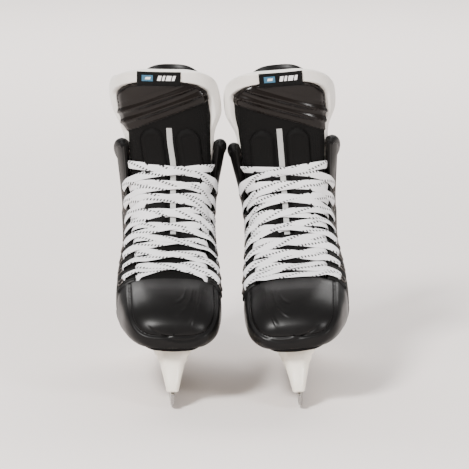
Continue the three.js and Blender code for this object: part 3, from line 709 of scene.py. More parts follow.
EYELET_T = eyelet_stations()


def edge_arc(t, side):
    """Distance round the skin from the front's middle to the throat edge."""
    phi, lengths = arc_table(t, side)
    return float(np.interp(-throat_edge(t)[side], -np.abs(phi), lengths))


def surface_normal(t, arc):
    du = on_skin(t + 0.02, arc) - on_skin(t - 0.02, arc)
    dv = on_skin(t, arc + 0.4) - on_skin(t, arc - 0.4)
    n = np.cross(dv, du)
    return n / np.linalg.norm(n)


def make_eyestay(skate, side, name):
    ts = np.linspace(TOE_CAP_END + 0.03, cuff_top(1.0) - 0.1, 150)
    across = np.linspace(-0.4, EYESTAY_W, 26)
    arcs = np.array([[side * (edge_arc(t, side) + a) for a in across] for t in ts])
    grid_t = np.broadcast_to(ts[:, None], arcs.shape)
    d = np.minimum(np.broadcast_to(across + 0.4, arcs.shape), EYESTAY_W - np.broadcast_to(across, arcs.shape))
    ends = np.minimum(np.arange(len(ts)), np.arange(len(ts))[::-1])[:, None] * 0.8
    rounded = np.sqrt(1 - (1 - np.clip(np.minimum(d, ends) / 1.1, 0, 1)) ** 2)
    stitch = -0.35 * ridge(d, 2.2, 0.45)
    height = (EYESTAY_T + stitch) * rounded
    for k in range(EYELETS):
        middle = edge_arc(EYELET_T[k], side) + EYELET_INSET
        spot = on_skin(EYELET_T[k], side * middle)
        away = np.linalg.norm(on_skin(grid_t, arcs) - spot, axis=-1)
        height = height - 0.5 * ridge(away, 4.4, 1.2)
    outer = on_skin(grid_t, arcs, height)
    inner = on_skin(grid_t, arcs, -0.6)
    obj = shell(skate, f"{name}_strap", outer, inner, grid_uv(outer))
    if side > 0:
        flip_faces(obj)
    finish_piece(obj, "eyestay", skate.body("skate"), skate.body(name))
    for k in range(EYELETS):
        arc = side * (edge_arc(EYELET_T[k], side) + EYELET_INSET)
        middle, n = on_skin(EYELET_T[k], arc, EYESTAY_T), surface_normal(EYELET_T[k], arc)
        u = np.cross(n, [0, 0, 1.0])
        u /= np.linalg.norm(u)
        w = np.cross(n, u)
        turn = np.linspace(0, 2 * PI, 28, endpoint=False)[:, None]
        circle = middle + EYELET_R * (np.cos(turn) * u + np.sin(turn) * w)
        ring = tube(skate, f"{name}_eyelet_{k + 1}", circle, 0.75, 10, True)
        finish_piece(ring, "dark_metal", skate.body("skate"))


# the collar's section: offset from the skin in mm, and rise in stations above the quarter's edge
COLLAR_PROFILE = [
    (5.4 * math.cos(a) - 3.0, 0.27 * math.sin(a) - 0.12) for a in np.linspace(0, 2 * PI, 16, endpoint=False)
]


def make_liner(skate):
    """The padded lining of both quarters with its thick rolled collar."""
    half = np.linspace(0, 0.76, 50)
    parts = []
    for side in (-1, 1):
        parts.append(boot_grid(side, half if side > 0 else half[::-1], 60))
    ts = np.concatenate([parts[0][0], parts[1][0][:, 1:]], 1)
    phi = np.concatenate([parts[0][1], parts[1][1][:, 1:]], 1)
    v = np.concatenate([half[::-1], half[1:]])[None]
    outer = skin(ts, phi, -SHELL_T - 0.3)
    inner = skin(ts, phi, -SHELL_T - 0.3 - 5 * (1 - 0.6 * smooth(v, 0.7, 0.76)))
    stand_on_sole(outer, LINER_FOOT)
    stand_on_sole(inner, LINER_FOOT + 0.2)
    obj = shell(skate, "ankle_lining", outer, inner, grid_uv(inner))
    finish_piece(obj, "lining", skate.body("skate"), skate.body("ankle_liner"))
    for side, name in ((1, "lateral"), (-1, "medial")):
        vs = np.linspace(0.001, 0.985, 96)
        ts, phi = boot_grid(side, vs, 2, 0.12)
        rings = []
        for off, lift in COLLAR_PROFILE:
            rings.append(skin(ts[1] + lift, phi[1], off))
        points = np.stack(rings, 1)
        taper = np.minimum(np.arange(len(vs)), np.arange(len(vs))[::-1])[:, None, None]
        middle = points.mean(1, keepdims=True)
        points = middle + (points - middle) * np.sqrt(np.clip(taper / 3, 0.05, 1))
        rows, sides = points.shape[:2]
        uv = np.stack([np.repeat(np.arange(rows) * 2.0, sides), np.tile(np.arange(sides) * 1.2, rows)], 1)
        obj = sweep(skate, f"{name}_collar", points, False, uv, 80)
        if side < 0:
            flip_faces(obj)
        finish_piece(obj, "collar", skate.body("skate"))


# ---------- tongue, felt and label ----------
def front_phi(t, x):
    """phi on the front of section t where the skin is x from the centre line."""
    sections = spline(STATIONS, np.asarray(t, float))
    w = np.where(x >= 0, sections[..., 4], sections[..., 5])
    half = np.clip(np.abs(x) / w, 0, 0.9995)
    return np.where(x >= 0, 1, -1) * (PI - np.arcsin(half ** (sections[..., 7] / 2)))


def tongue_half(t):
    return throat_half(np.minimum(t, CUFF_TOP)) - 0.6 + 2.2 * smooth(t, 13.5, 14.2)


def rounded_top(t, start, end, half, power=2.8):
    f = np.clip((t - start) / (end - start), 0, 0.995)
    return half * (1 - f**power) ** (1 / power)


def felt_half(t):
    return np.minimum(tongue_half(t) + 7.5, spline(STATIONS, np.asarray(t, float))[..., 5] * 0.985)


def panel_height(x, z):
    """Height above the slanting lower edge of the moulded panel."""
    return (z - (260.5 - 0.37 * x)) * 0.94


def tongue_relief(t, x, z, f):
    above = panel_height(x, z)
    panel = 1.3 * smooth(above, -0.5, 0.5)
    for at in (7.5, 17):
        rise = above - at
        panel = panel + 2.0 * smooth(rise, -1.2, 0.6) * (1 - smooth(rise, 0.6, 6))
    panel = panel - 0.5 * ridge(above, 26, 0.7)
    top = 248 - 9 * np.abs(np.where(x < 0, (x + 20) / 12, (x - 15.7) / 11.5)) ** 2.6
    across = np.minimum(np.minimum(x + 31.5, -9 - x), 40) * (x < -5) + np.minimum(x - 5, 26.5 - x) * (x >= -5)
    inside = np.minimum(across, (top - z) * 0.9)
    pad = 2.1 * smooth(inside, -0.4, 1.6) - 0.9 * ridge(inside, -0.9, 0.7) + 0.5 * ridge(inside, 3.4, 0.8)
    pad = pad * smooth(t, 6, 8) * (1 - smooth(above, -1.5, 0))
    side = -1.7 * smooth(np.abs(f), 0.84, 1.0)
    return panel + pad + side - 0.5 * smooth(np.abs(f), 0.97, 1.0)


def lean(skate, t):
    """How far the tongue's upper part stands off the middle, to the lateral side."""
    return LEAN[skate.wearer] * 0.45 * smooth(np.asarray(t, float), 11.5, 13.6) + flap_shift(skate, t)


def flap_shift(skate, t):
    """The share of the lean by which the flap, above the cuff, leaves the boot's skin."""
    return LEAN[skate.wearer] * 0.55 * smooth(np.asarray(t, float), 13.3, 15.0)


def on_front(skate, t, x, off):
    """Points of the tongue at the stations t and the places x across, with its lean."""
    shift = flap_shift(skate, t)
    points = skin(t, front_phi(t, x - shift), off)
    points[..., 0] += shift
    return points


def spread(ts, low, high, columns):
    """Stations and x over the front, from x = low to high in each row, crowded at both edges."""
    f = np.sin(np.linspace(-1, 1, columns) * PI / 2 * 0.8) / math.sin(PI / 2 * 0.8)
    x = (low + high)[:, None] / 2 + (high - low)[:, None] / 2 * f[None]
    return np.broadcast_to(ts[:, None], x.shape), x, np.broadcast_to(f, x.shape)


def tongue_edges(skate, ts, half):
    """x of the tongue's medial and lateral edges; the lateral one stays within the facing."""
    ts = np.asarray(ts, float)
    shift = lean(skate, ts)
    limit = tongue_half(ts) + 30 * smooth(ts, 13.3, 14.6)
    return np.maximum(shift - half, -limit), np.minimum(half + shift, limit)


def bend_across(skate, obj):
    """Bakes the fabric's placement into its mesh; the hinge points and body names it works out are not used."""
    start, end = skate.place([[0, HINGE_Y, z] for z in BEND_Z])
    skate.body("skate")
    skate.body("tongue_flap")
    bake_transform(obj)


def make_tongue(skate):
    top = FLAP_END - 0.55 * np.linspace(1, 0, 22)[1:] ** 1.8
    ts = np.concatenate([np.linspace(TOE_CAP_END + 0.02, 14.9, 190), top])
    half = rounded_top(ts, 14.6, FLAP_END, tongue_half(ts))
    t, x, f = spread(ts, *tongue_edges(skate, ts, half), 131)
    z = on_front(skate, t, x, 0)[..., 2]
    local = x - lean(skate, t)
    edge = -0.9 * smooth(ts, 15.3, 15.45)[:, None] - 2.5 * (np.clip(ts - 14.7, 0, None) / 0.75)[:, None] ** 2
    outer = on_front(skate, t, x, TONGUE_OFF + tongue_relief(t, local, z, f) + edge)
    inner = on_front(skate, t, x, TONGUE_OFF - 5 + edge * 0.6)
    above = panel_height(local, z)
    mesh = np.maximum(1 - smooth(local, -34, -31), smooth(local, 26, 29)) * (1 - smooth(above, -1, 0))
    obj = shell(skate, "tongue_face", outer, inner, grid_uv(outer), {"mesh": mesh}, sharp=50)
    finish_piece(obj, "tongue", None, skate.body("tongue_front"), skate.body("tongue_flap"))
    obj.data.materials.append(MATERIALS["panel"])
    above = np.concatenate([above.ravel(), above.ravel()])
    for face in obj.data.polygons:
        if above[list(face.vertices)].mean() > 0:
            face.material_index = 1
    bend_across(skate, obj)
    stitches(skate, ts, half)


def stitches(skate, ts, half):
    """A row of stitches just inside the flap's rounded top edge."""
    row = []
    for t in np.concatenate([np.linspace(14.1, 15.1, 30), np.linspace(15.1, 15.3, 24)[1:]]):
        width = float(rounded_top(t, 14.6, 15.33, tongue_half(t))) - 2.2
        row.append((t, width))
    path = [(t, -w) for t, w in row] + [(15.31, x) for x in np.linspace(-row[-1][1], row[-1][1], 40)[1:-1]]
    path += [(t, w) for t, w in row[::-1]]
    t, x = np.array(path).T
    z = on_front(skate, t, x + lean(skate, t), 0)[..., 2]
    f = x / tongue_half(t)
    edge = -2.5 * (np.clip(t - 14.7, 0, None) / 0.75) ** 2
    points = on_front(skate, t, x + lean(skate, t), TONGUE_OFF + tongue_relief(t, x, z, f) + edge + 0.1)
    along = path_length(points)
    meshes = []
    for start in np.arange(2, along[-1] - 4, 3.6):
        s = start + np.array([0, 0.7, 1.3, 1.9, 2.6])
        seg = np.stack([np.interp(s, along, points[:, k]) for k in range(3)], 1)
        seg += np.array([0, -0.35, 0.1]) * np.array([0, 0.8, 1, 0.8, 0])[:, None]
        meshes.append(tube(skate, "stitch", seg, 0.32, 6))
    obj = join(meshes, f"{skate.wearer}_tongue_stitching")
    finish_piece(obj, "collar", skate.body("tongue_flap"))


def join(objects, name):
    """One object from several of the same kind."""
    points, faces = [], []
    for obj in objects:
        start = len(points)
        points += [tuple(v.co) for v in obj.data.vertices]
        faces += [tuple(start + k for k in p.vertices) for p in obj.data.polygons]
    mesh = bpy.data.meshes.new(name)
    mesh.from_pydata(points, [], faces)
    mesh.polygons.foreach_set("use_smooth", np.ones(len(mesh.polygons), bool))
    made = bpy.data.objects.new(name, mesh)
    bpy.context.scene.collection.objects.link(made)
    for obj in objects:
        old = obj.data
        bpy.data.objects.remove(obj)
        bpy.data.meshes.remove(old)
    return made


def make_felt(skate):
    top = FELT_END - 0.9 * np.linspace(1, 0, 44)[1:] ** 1.7
    ts = np.concatenate([np.linspace(TOE_CAP_END + 0.6, 15.1, 150), top])
    half = rounded_top(ts, 14.3, FELT_END, felt_half(ts), 3.0)
    half = half + 3.5 * smooth(ts, 12.9, 14.6) * (1 - smooth(ts, 15.3, 16))
    limit = felt_half(ts) + 30 * smooth(ts, 12.9, 14.8)
    shift = 0.8 * lean(skate, ts)
    t, x, f = spread(ts, np.maximum(shift - half, -limit), np.minimum(shift + half, limit), 131)
    black = rounded_top(np.minimum(t, 15.44), 14.6, FLAP_END, tongue_half(t))
    beyond = np.maximum(np.abs(x - lean(skate, t)) - black, (t - 15.4) * 22)
    wave = 0.6 * np.sin(t * 3.1 + 0.7) + 0.35 * np.sin(x * 0.16 + t * 2)
    rim = np.minimum((1 - np.abs(f)) * half[:, None], (FELT_END - t) * 22)
    swell = np.sqrt(np.clip(1 - (1 - np.clip(rim / 4.5, 0, 1)) ** 2, 0.03, 1))
    front = TONGUE_OFF - 5.5 + (1.3 + 5.4 * smooth(t, 13.2, 14.2)) * smooth(beyond, 0.2, 2.2)
    back = np.full(t.shape, TONGUE_OFF - 11)
    middle = (front + back) / 2
    outer = on_front(skate, t, x, middle + (front - middle) * swell + wave * 0.4)
    inner = on_front(skate, t, x, middle + (back - middle) * swell + wave * 0.2)
    obj = shell(skate, "tongue_lining", outer, inner, grid_uv(outer), sharp=80)
    finish_piece(obj, "felt", None, skate.body("tongue_felt"), skate.body("tongue_flap_felt"))
    bend_across(skate, obj)


def label_surface(skate, u, w):
    """Points of the label: u across in mm from its middle, w from 0 at its lower edge to 1 at its top."""
    t = 15.3 + 0.58 * np.asarray(w, float)
    x = np.asarray(u, float) + LABEL_SHIFT + lean(skate, t)
    return np.broadcast_arrays(t, x)


def label_off(t):
    return TONGUE_OFF + 0.9 + 0.25 * smooth(t, 15.3, 15.7)


def make_label(skate):
    w = np.linspace(0, 1, 26)
    u = np.linspace(-LABEL_HALF, LABEL_HALF, 60)
    t, x = label_surface(skate, u[None], w[:, None])
    edge = np.minimum(np.minimum(LABEL_HALF - np.abs(u)[None], 20 * np.minimum(w, 1 - w)[:, None]), 1)
    outer = on_front(skate, t, x, label_off(t) + 0.5 + 0.5 * np.sqrt(np.clip(edge, 0, 1)))
    inner = on_front(skate, t, x, label_off(t) - 0.8)
    obj = shell(skate, "label_patch", outer, inner, grid_uv(outer), sharp=60)
    finish_piece(obj, "label", skate.body("tongue_flap"), skate.body("tongue_label"))
    patch(skate, "label_emblem", [(-16, 0.3), (-5.5, 0.3), (-5.5, 0.72), (-16, 0.72)], "mark_blue")
    patch(skate, "label_emblem_bar", [(-13, 0.42), (-8.2, 0.42), (-7.4, 0.58), (-12.2, 0.58)], "mark_white")
    for k, (start, width) in enumerate(((-1.5, 3.2), (3, 2.2), (6.6, 4.6), (12.4, 2.6))):
        corners = [(start, 0.34), (start + width, 0.34), (start + width + 1.2, 0.68), (start + 1.2, 0.68)]
        patch(skate, f"label_bar_{k + 1}", corners, "mark_white")


def patch(skate, name, corners, material):
    """A thin raised mark on the label, on four corners in its surface."""
    corners = np.array(corners)
    a, b = np.linspace(0, 1, 9)[None, :, None], np.linspace(0, 1, 7)[:, None, None]
    spots = (1 - b) * ((1 - a) * corners[0] + a * corners[1]) + b * ((1 - a) * corners[3] + a * corners[2])
    t, x = label_surface(skate, spots[..., 0] * skate.outward, spots[..., 1])
    outer = on_front(skate, t, x, label_off(t) + 1.25)
    inner = on_front(skate, t, x, label_off(t) + 0.8)
    obj = shell(skate, name, outer, inner, grid_uv(outer))
    if skate.outward < 0:
        flip_faces(obj)
    finish_piece(obj, material, skate.body("tongue_flap"))


def make_strip(skate):
    """The flat ribbon down the channel in the tongue's middle."""
    ts = np.linspace(7.6, 13.62, 120)
    t, x = np.broadcast_arrays(ts[:, None], np.linspace(-2.7, 2.7, 9)[None] - 1.8)
    x = x + lean(skate, t)
    rounding = 0.3 * np.sqrt(1 - (np.linspace(-1, 1, 9) ** 2) * 0.95)[None]
    outer = on_front(skate, t, x, TONGUE_OFF + 0.55 + rounding)
    inner = on_front(skate, t, x, TONGUE_OFF - 0.3)
    obj = shell(skate, "tongue_ribbon", outer, inner, grid_uv(outer))
    finish_piece(obj, "silver", skate.body("skate"), skate.body("tongue_strip"))


# ---------- laces ----------
def ribbon(skate, name, stations, arcs, offs, widths, twist=None, start=0.0):
    """A flat woven lace along a line on the skin; its uv is mm along and 0 to 1 across."""
    n = len(stations)
    middle = np.array([on_skin(stations[k], arcs[k], offs[k]) for k in range(n)])
    ahead = np.gradient(middle, axis=0)
    ahead /= np.linalg.norm(ahead, axis=1)[:, None]
    bulged = lambda value, power: np.sign(value) * abs(value) ** power
    angles = np.linspace(0, 2 * PI, 26, endpoint=False)
    profile = np.array([(bulged(math.cos(a), 0.55), bulged(math.sin(a), 0.7)) for a in angles])
    rings = []
    for k in range(n):
        normal = surface_normal(stations[k], arcs[k])
        across = np.cross(normal, ahead[k])
        across /= np.linalg.norm(across)
        up = np.cross(ahead[k], across)
        turn = 0 if twist is None else twist[k]
        wide = math.cos(turn) * across + math.sin(turn) * up
        thick = np.cross(ahead[k], wide)
        bow = 0.25 * (1 - profile[:, :1] ** 2)
        rings.append(middle[k] + profile[:, :1] * widths[k] / 2 * wide + (profile[:, 1:] * 0.52 + bow) * thick)
    along = start + path_length(middle)
    across = profile[:, 0] * 0.5 + 0.5
    uv = np.stack(np.broadcast_arrays(along[:, None], across[None]), -1).reshape(-1, 2)
    return sweep(skate, name, np.array(rings), True, uv, 60)


def skin_line(t0, arc0, t1, arc1, count):
    """A straight run over the front: shares of the way, stations, arcs, and its length in mm."""
    s = np.linspace(0, 1, count)
    length = float(np.linalg.norm(on_skin(t1, arc1) - on_skin(t0, arc0)))
    return s, t0 + (t1 - t0) * s, arc0 + (arc1 - arc0) * s, length


def lace_strip(skate, k, side):
    """From outside the facing at eyelet k, over its edge, across and under the other facing at station k + 1."""
    uneven = 0.09 * math.sin(k * 5.1 + side * 1.3 + skate.outward)
    t0, t1 = EYELET_T[k], EYELET_T[k + 1] + uneven + (0.35 if k == EYELETS - 1 else 0)
    e0, e1 = edge_arc(t0, side), edge_arc(t1, -side)
    s, ts, arcs, length = skin_line(t0, side * (e0 + EYELET_INSET), t1, -side * (e1 + LACE_TUCK), 90)
    top = side > 0 if k % 2 else side < 0
    loose = math.sin(k * 7.3 + side * 2.1 + skate.outward * 1.7)
    from_start = s * length
    over = EYESTAY_T + 1.15
    gap = np.array([edge_arc(t, side) for t in ts])
    inside = smooth(gap - side * arcs, 2, 14)
    offs = over + (0.55 - over) * inside + (1.35 if top else 0.15) * ridge(arcs, 0, 11) * inside
    far = np.array([edge_arc(t, -side) for t in ts])
    near_far = -side * arcs - far
    offs = offs - 0.6 * smooth(near_far, -14, -6) - 2.9 * smooth(near_far, -5.5, 2.5)
    offs = offs - LACE_DIP * (1 - smooth(from_start, 0, 5.5))
    widths = LACE_W - 3.8 * (1 - smooth(from_start, 0, 7)) - 1.2 * smooth(near_far, -2, 4)
    widths = widths * (1 + 0.03 * loose)
    twist = 0.3 * loose * np.sin(PI * s) + 0.2 * np.sin(2 * PI * s + 1.7 * k)
    name = f"lace_{k + 1}_{'lateral' if side > 0 else 'medial'}"
    ts = ts + 0.02 * loose * np.sin(PI * s)
    obj = ribbon(skate, name, ts, arcs, offs, widths, twist, start=(k * 37 + side * 11) % LACE_REPEAT)
    return finish_piece(obj, "lace", skate.body("skate"))


def lace_base(skate):
    """The first run between the lowest eyelets: under the facings on the right skate, over them on the left."""
    t = EYELET_T[0]
    outside = skate.wearer == "left"
    reach = EYELET_INSET if outside else LACE_TUCK
    e0, e1 = edge_arc(t, 1), edge_arc(t, -1)
    s, ts, arcs, length = skin_line(t, e0 + reach, t, -(e1 + reach), 90)
    if outside:
        inside = smooth(e0 - np.abs(arcs), 2, 12)
        offs = EYESTAY_T + 1.15 - (EYESTAY_T + 0.9) * inside
        near = np.minimum(s, 1 - s) * length
        offs = offs - LACE_DIP * (1 - smooth(near, 0, 5.5))
        widths = LACE_W - 3.8 * (1 - smooth(near, 0, 7))
        ts = ts - 0.12
    else:
        offs = 0.1 - 2.9 * smooth(np.abs(arcs) - e0, -5.5, 2.5)
        widths = LACE_W - 1.2 * smooth(np.abs(arcs) - e0, -2, 4)
        ts = ts - 0.1 + 0.55 * smooth(np.minimum(s, 1 - s) * 2, 0, 1)
    obj = ribbon(skate, "lace_base", ts, arcs, offs, widths)
    return finish_piece(obj, "lace", skate.body("skate"), skate.body("lace"))


def make_laces(skate):
    lace_base(skate)
    for k in range(EYELETS):
        for side in (1, -1):
            lace_strip(skate, k, side)


# ---------- holder, runner and the parts on them ----------
def holder_half(y, z, top):
    """Half width of the holder: tapered to the runner, stepped twice below the outsole, rounded at both ends."""
    rise = np.clip((z - HOLDER_Z) / (top - HOLDER_Z), 0, 1)
    wide = HOLDER_LOW + (HOLDER_HIGH - HOLDER_LOW) * rise**1.2
    wide = wide + 1.1 * (1 - smooth(top - z, 13.6, 14.4)) + 1.1 * (1 - smooth(top - z, 7.8, 8.6))
    wide = wide - 0.9 * (1 - smooth(z, HOLDER_Z, HOLDER_Z + 1.2))
    nose = np.interp(z, [17, 25, 40, 60], [HOLDER_Y[0], HOLDER_Y[0] + 1, HOLDER_Y[0] + 8, HOLDER_Y[0] + 12])
    heel = np.interp(z, [17, 25, 42, 64], [HOLDER_Y[1], HOLDER_Y[1], HOLDER_Y[1] - 7, HOLDER_Y[1] - 5])
    end = np.clip(np.minimum(y - nose, heel - y) / (0.9 * wide), 0, 1)
    return wide * np.sqrt(1 - (1 - end) ** 2 * 0.8)


def polygon_edges(outline, radius, step=0.8):
    """A closed outline with rounded corners, as dense points in order."""
    outline = np.array(outline, float)
    points = []
    for k in range(len(outline)):
        before, here, after = outline[k - 1], outline[k], outline[(k + 1) % len(outline)]
        a, b = before - here, after - here
        la, lb = np.linalg.norm(a), np.linalg.norm(b)
        r = min(radius[k] if hasattr(radius, "__len__") else radius, 0.45 * la, 0.45 * lb)
        p, q = here + a / la * r, here + b / lb * r
        for s in np.linspace(0, 1, 9):
            points.append((1 - s) ** 2 * p + 2 * s * (1 - s) * here + s * s * q)
    points = np.array(points)
    closed = np.vstack([points, points[:1]])
    along = path_length(closed)
    count = int(along[-1] / step)
    at = np.linspace(0, along[-1], count, endpoint=False)
    return np.stack([np.interp(at, along, closed[:, k]) for k in (0, 1)], 1)


def mirrored_slab(skate, name, outline, half, bevel, spacing=3.0, sharp=40, extra=()):
    """A piece cut to a side outline [y, z] with both faces triangulated, so that its width may vary over them."""
    count = len(outline)
    normals = np.roll(outline, -1, 0) - np.roll(outline, 1, 0)
    normals = np.stack([normals[:, 1], -normals[:, 0]], 1)
    normals /= np.linalg.norm(normals, axis=1)[:, None]
    angles = np.linspace(0, PI / 2, 4)
    rings = []
    for angle in angles:
        spots = outline - normals * bevel * (1 - math.cos(angle))
        rings.append((spots, -bevel * (1 - math.sin(angle))))
    inner = rings[-1][0]
    lo, hi = inner.min(0), inner.max(0)
    ys, zs = np.meshgrid(np.arange(lo[0], hi[0], spacing), np.arange(lo[1], hi[1], spacing))
    spots = np.stack([ys.ravel(), zs.ravel()], 1)
    if len(extra):
        near = np.min(np.linalg.norm(spots[:, None] - np.array(extra)[None], axis=2), axis=1)
        spots = np.vstack([spots[near > spacing * 0.4], extra])
    spots = spots[inside_polygon(spots, inner)]
    gap = np.array([np.min(np.linalg.norm(inner - p, axis=1)) for p in spots]) if len(spots) else np.zeros(0)
    spots = spots[gap > spacing * 0.45] if len(spots) else spots
    cloud = np.vstack([inner, spots]) if len(spots) else inner
    edges = [(k, (k + 1) % count) for k in range(count)]
    found = geometry.delaunay_2d_cdt([Vector(p) for p in cloud], edges, [list(range(count))], 1, 1e-6)
    flat = np.array([list(v) for v in found[0]])
    origin = found[3]
    triangles = found[2]
    size = len(flat)
    rim = np.full(count, -1)
    for k, source in enumerate(origin):
        for s in source:
            if s < count:
                rim[s] = k
    points, faces = [], []
    half_flat = half(flat)
    points += [(half_flat[k], *flat[k]) for k in range(size)]
    points += [(-half_flat[k], *flat[k]) for k in range(size)]
    faces += [tuple(f) for f in triangles]
    faces += [tuple(size + k for k in reversed(f)) for f in triangles]
    last = [rim, size + rim]
    for sign, edge in ((1, rim), (-1, size + rim)):
        previous = edge
        for ring, depth in reversed(rings[:-1]):
            start = len(points)
            points += [(sign * (h + depth), *p) for h, p in zip(half(ring), ring)]
            now = start + np.arange(count)
            for k in range(count):
                n = (k + 1) % count
                face = (previous[k], now[k], now[n], previous[n])
                faces.append(tuple(int(i) for i in (face if sign > 0 else face[::-1])))
            previous = now
        last[0 if sign > 0 else 1] = previous
    for k in range(count):
        n = (k + 1) % count
        faces.append(tuple(int(i) for i in (last[0][k], last[1][k], last[1][n], last[0][n])))
    points = np.array(points)
    return add_mesh(skate, name, points, faces, points[:, 1:], sharp=sharp)


def inside_polygon(spots, outline):
    inside = np.zeros(len(spots), bool)
    j = len(outline) - 1
    for i in range(len(outline)):
        a, b = outline[i], outline[j]
        crosses = (a[1] > spots[:, 1]) != (b[1] > spots[:, 1])
        with np.errstate(divide="ignore", invalid="ignore"):
            at = (b[0] - a[0]) * (spots[:, 1] - a[1]) / (b[1] - a[1]) + a[0]
        inside ^= crosses & (spots[:, 0] < at)
        j = i
    return inside


def cut(obj, *cutters):
    """Takes the cutters out of a piece and removes them."""
    for cutter in cutters:
        modifier = obj.modifiers.new("cut", "BOOLEAN")
        modifier.operation = "DIFFERENCE"
        modifier.solver = "EXACT"
        modifier.object = cutter
    graph = bpy.context.evaluated_depsgraph_get()
    mesh = bpy.data.meshes.new_from_object(obj.evaluated_get(graph))
    obj.modifiers.clear()
    old = obj.data
    obj.data = mesh
    mesh.name = old.name
    bpy.data.meshes.remove(old)
    for cutter in cutters:
        data = cutter.data
        bpy.data.objects.remove(cutter)
        bpy.data.meshes.remove(data)
    mesh.polygons.foreach_set("use_smooth", np.ones(len(mesh.polygons), bool))
    mesh.set_sharp_from_angle(angle=math.radians(40))


def box_cut(skate, name, outline, half):
    outline = np.array(outline, float)
    if np.sum(outline[:, 0] * np.roll(outline[:, 1], -1) - np.roll(outline[:, 0], -1) * outline[:, 1]) < 0:
        outline = outline[::-1]
    n = len(outline)
    points = [(half, *p) for p in outline] + [(-half, *p) for p in outline]
    faces = [tuple(range(n)), tuple(reversed(range(n, 2 * n)))]
    faces += [(k, n + k, n + (k + 1) % n, (k + 1) % n) for k in range(n)]
    return add_mesh(skate, name, points, faces)


def make_holder(skate):
    front, rear = HOLDER_Y
    w0, w1 = WINDOW_Y
    top = lambda y: sole_z(y) - SOLE_GAP
    outline = [
        (front, HOLDER_Z), (rear, HOLDER_Z), (rear, 25), (rear - 7, 42), (rear - 5, top(rear - 5)),
        (w1, top(w1)), (w1 - 3, 48), (w1 - 6, 36), (w1 - 16, 30), (w0 - 20, 29),
        (w0 - 10, 38), (w0, top(w0)), (front + 12, top(front + 12)), (front + 8, 40), (front + 1, 25),
    ]
    radius = [3, 3, 8, 14, 0.5, 0.5, 14, 12, 14, 14, 14, 0.5, 0.5, 20, 8]
    edge = polygon_edges(outline, radius, 1.2)
    half = lambda p: holder_half(p[:, 0], p[:, 1], top(p[:, 0]))
    steps = [(y, top(y) - d) for d in (14.5, 13.5, 8.7, 7.7) for y in np.arange(front, rear, 2.0)]
    obj = mirrored_slab(skate, "blade_holder", edge, half, 1.0, 2.0, extra=steps)
    slot_half = RUNNER_T / 2 + 0.3
    slot = box_cut(skate, "slot", [
        (front + 1.6, 10), (rear - 1.6, 10), (rear - 1.6, 18.4), (rear - 8, 27.3), (front + 16, 27.3),
        (front + 1.6, 18.4),
    ], slot_half)
    tab = box_cut(skate, "tab", [(65.7, 20), (92.3, 20), (92.3, 44.3), (65.7, 44.3)], slot_half)
    pocket = box_cut(
        skate, "pocket",
        [(25, 31), (40, 29.5), (58, 26), (70, 26), (70, 45), (66, 50), (52, 52), (25, 50)], 2.7,
    )
    cut(obj, slot, tab, pocket)
    finish_piece(obj, "holder", skate.body("skate"), skate.body("holder"))
    for k, (y0, y1) in enumerate(((front + 21, w0 + 6), (w1 - 4, rear - 4))):
        flange(skate, f"holder_flange_{k + 1}", y0, y1)


def flange(skate, name, y0, y1):
    """The flange a tower spreads into under the outsole, with a fillet to its walls."""
    rows = []
    for y in np.linspace(y0, y1, 60):
        top = sole_z(y) - SOLE_GAP
        near = min(y - y0, y1 - y)
        wide = FLANGE_HALF - 7 * (1 - math.sqrt(max(1 - (1 - min(near / 9, 1)) ** 2, 0)))
        ring = []
        for x, drop in ((wide, 0), (wide, 1.6), (wide - 0.3, 2.3), (wide - 1.2, 2.7), (wide - 3.5, 2.9),
                        (19.5, 3.1), (18.2, 4.1), (17, 5.4)):
            ring.append((min(x, wide), y, top - drop))
        mirrored = [(-x, y_, z) for x, y_, z in reversed(ring)]
        rows.append(ring + mirrored)
    rows = np.array(rows)
    obj = sweep(skate, name, rows, False, top_uv(rows))
    finish_piece(obj, "holder", skate.body("skate"))


def make_runner(skate):
    front, rear = RUNNER_Y
    edge = HOLDER_Z - 0.5
    outline = [
        (front, edge), (front + 0.8, 11), (front + 5, 6), (front + 14, 2.4), (front + 34, 0.7), (-55, 0),
        (55, 0), (rear - 36, 0.7), (rear - 14, 2.4), (rear - 5, 6), (rear - 0.8, 11), (rear, edge),
        (rear - 10, edge), (rear - 10, 27), (92, 27), (92, 44), (66, 44), (66, 41), (69.5, 40.5), (69.5, 27),
        (front + 7, 24), (front + 6, edge),
    ]
    radius = [1.5, 5, 8, 14, 20, 20, 20, 20, 14, 8, 5, 1.5, 1, 1, 1, 2, 1, 1, 1, 1, 1, 1]
    points = polygon_edges(outline, radius, 1.0)
    obj = mirrored_slab(skate, "steel_runner", points, lambda p: np.full(len(p), RUNNER_T / 2), 0.35, 6.0, sharp=30)
    finish_piece(obj, "steel", skate.body("skate"), skate.body("runner"))


def make_trigger(skate):
    outline = [
        (33, 33), (37, 31.6), (50, 36), (58, 34), (67.5, 33), (67.5, 38.5), (61, 46), (55, 49), (48, 47), (44, 41.5),
        (34, 37),
    ]
    points = polygon_edges(outline, 1.6, 0.7)
    obj = mirrored_slab(skate, "trigger_lever", points, lambda p: np.full(len(p), 2.4), 0.5, 3.0)
    finish_piece(obj, "trim", skate.body("trigger"), skate.body("trigger"))
    pin = tube(skate, "trigger_axle", [(x, 54, 42) for x in np.linspace(-13, 13, 8)], 2.0, 24)
    finish_piece(pin, "dark_metal", skate.body("skate"), skate.body("trigger_pin"))


# radius, and depth below the flange: the domed head and then the shank
RIVET_PROFILE = (
    (0.4, 1.5), (1.6, 1.42), (2.7, 1.1), (3.4, 0.6), (3.6, 0.15), (3.5, -0.3), (2.0, -0.4), (2.0, -5.5),
)


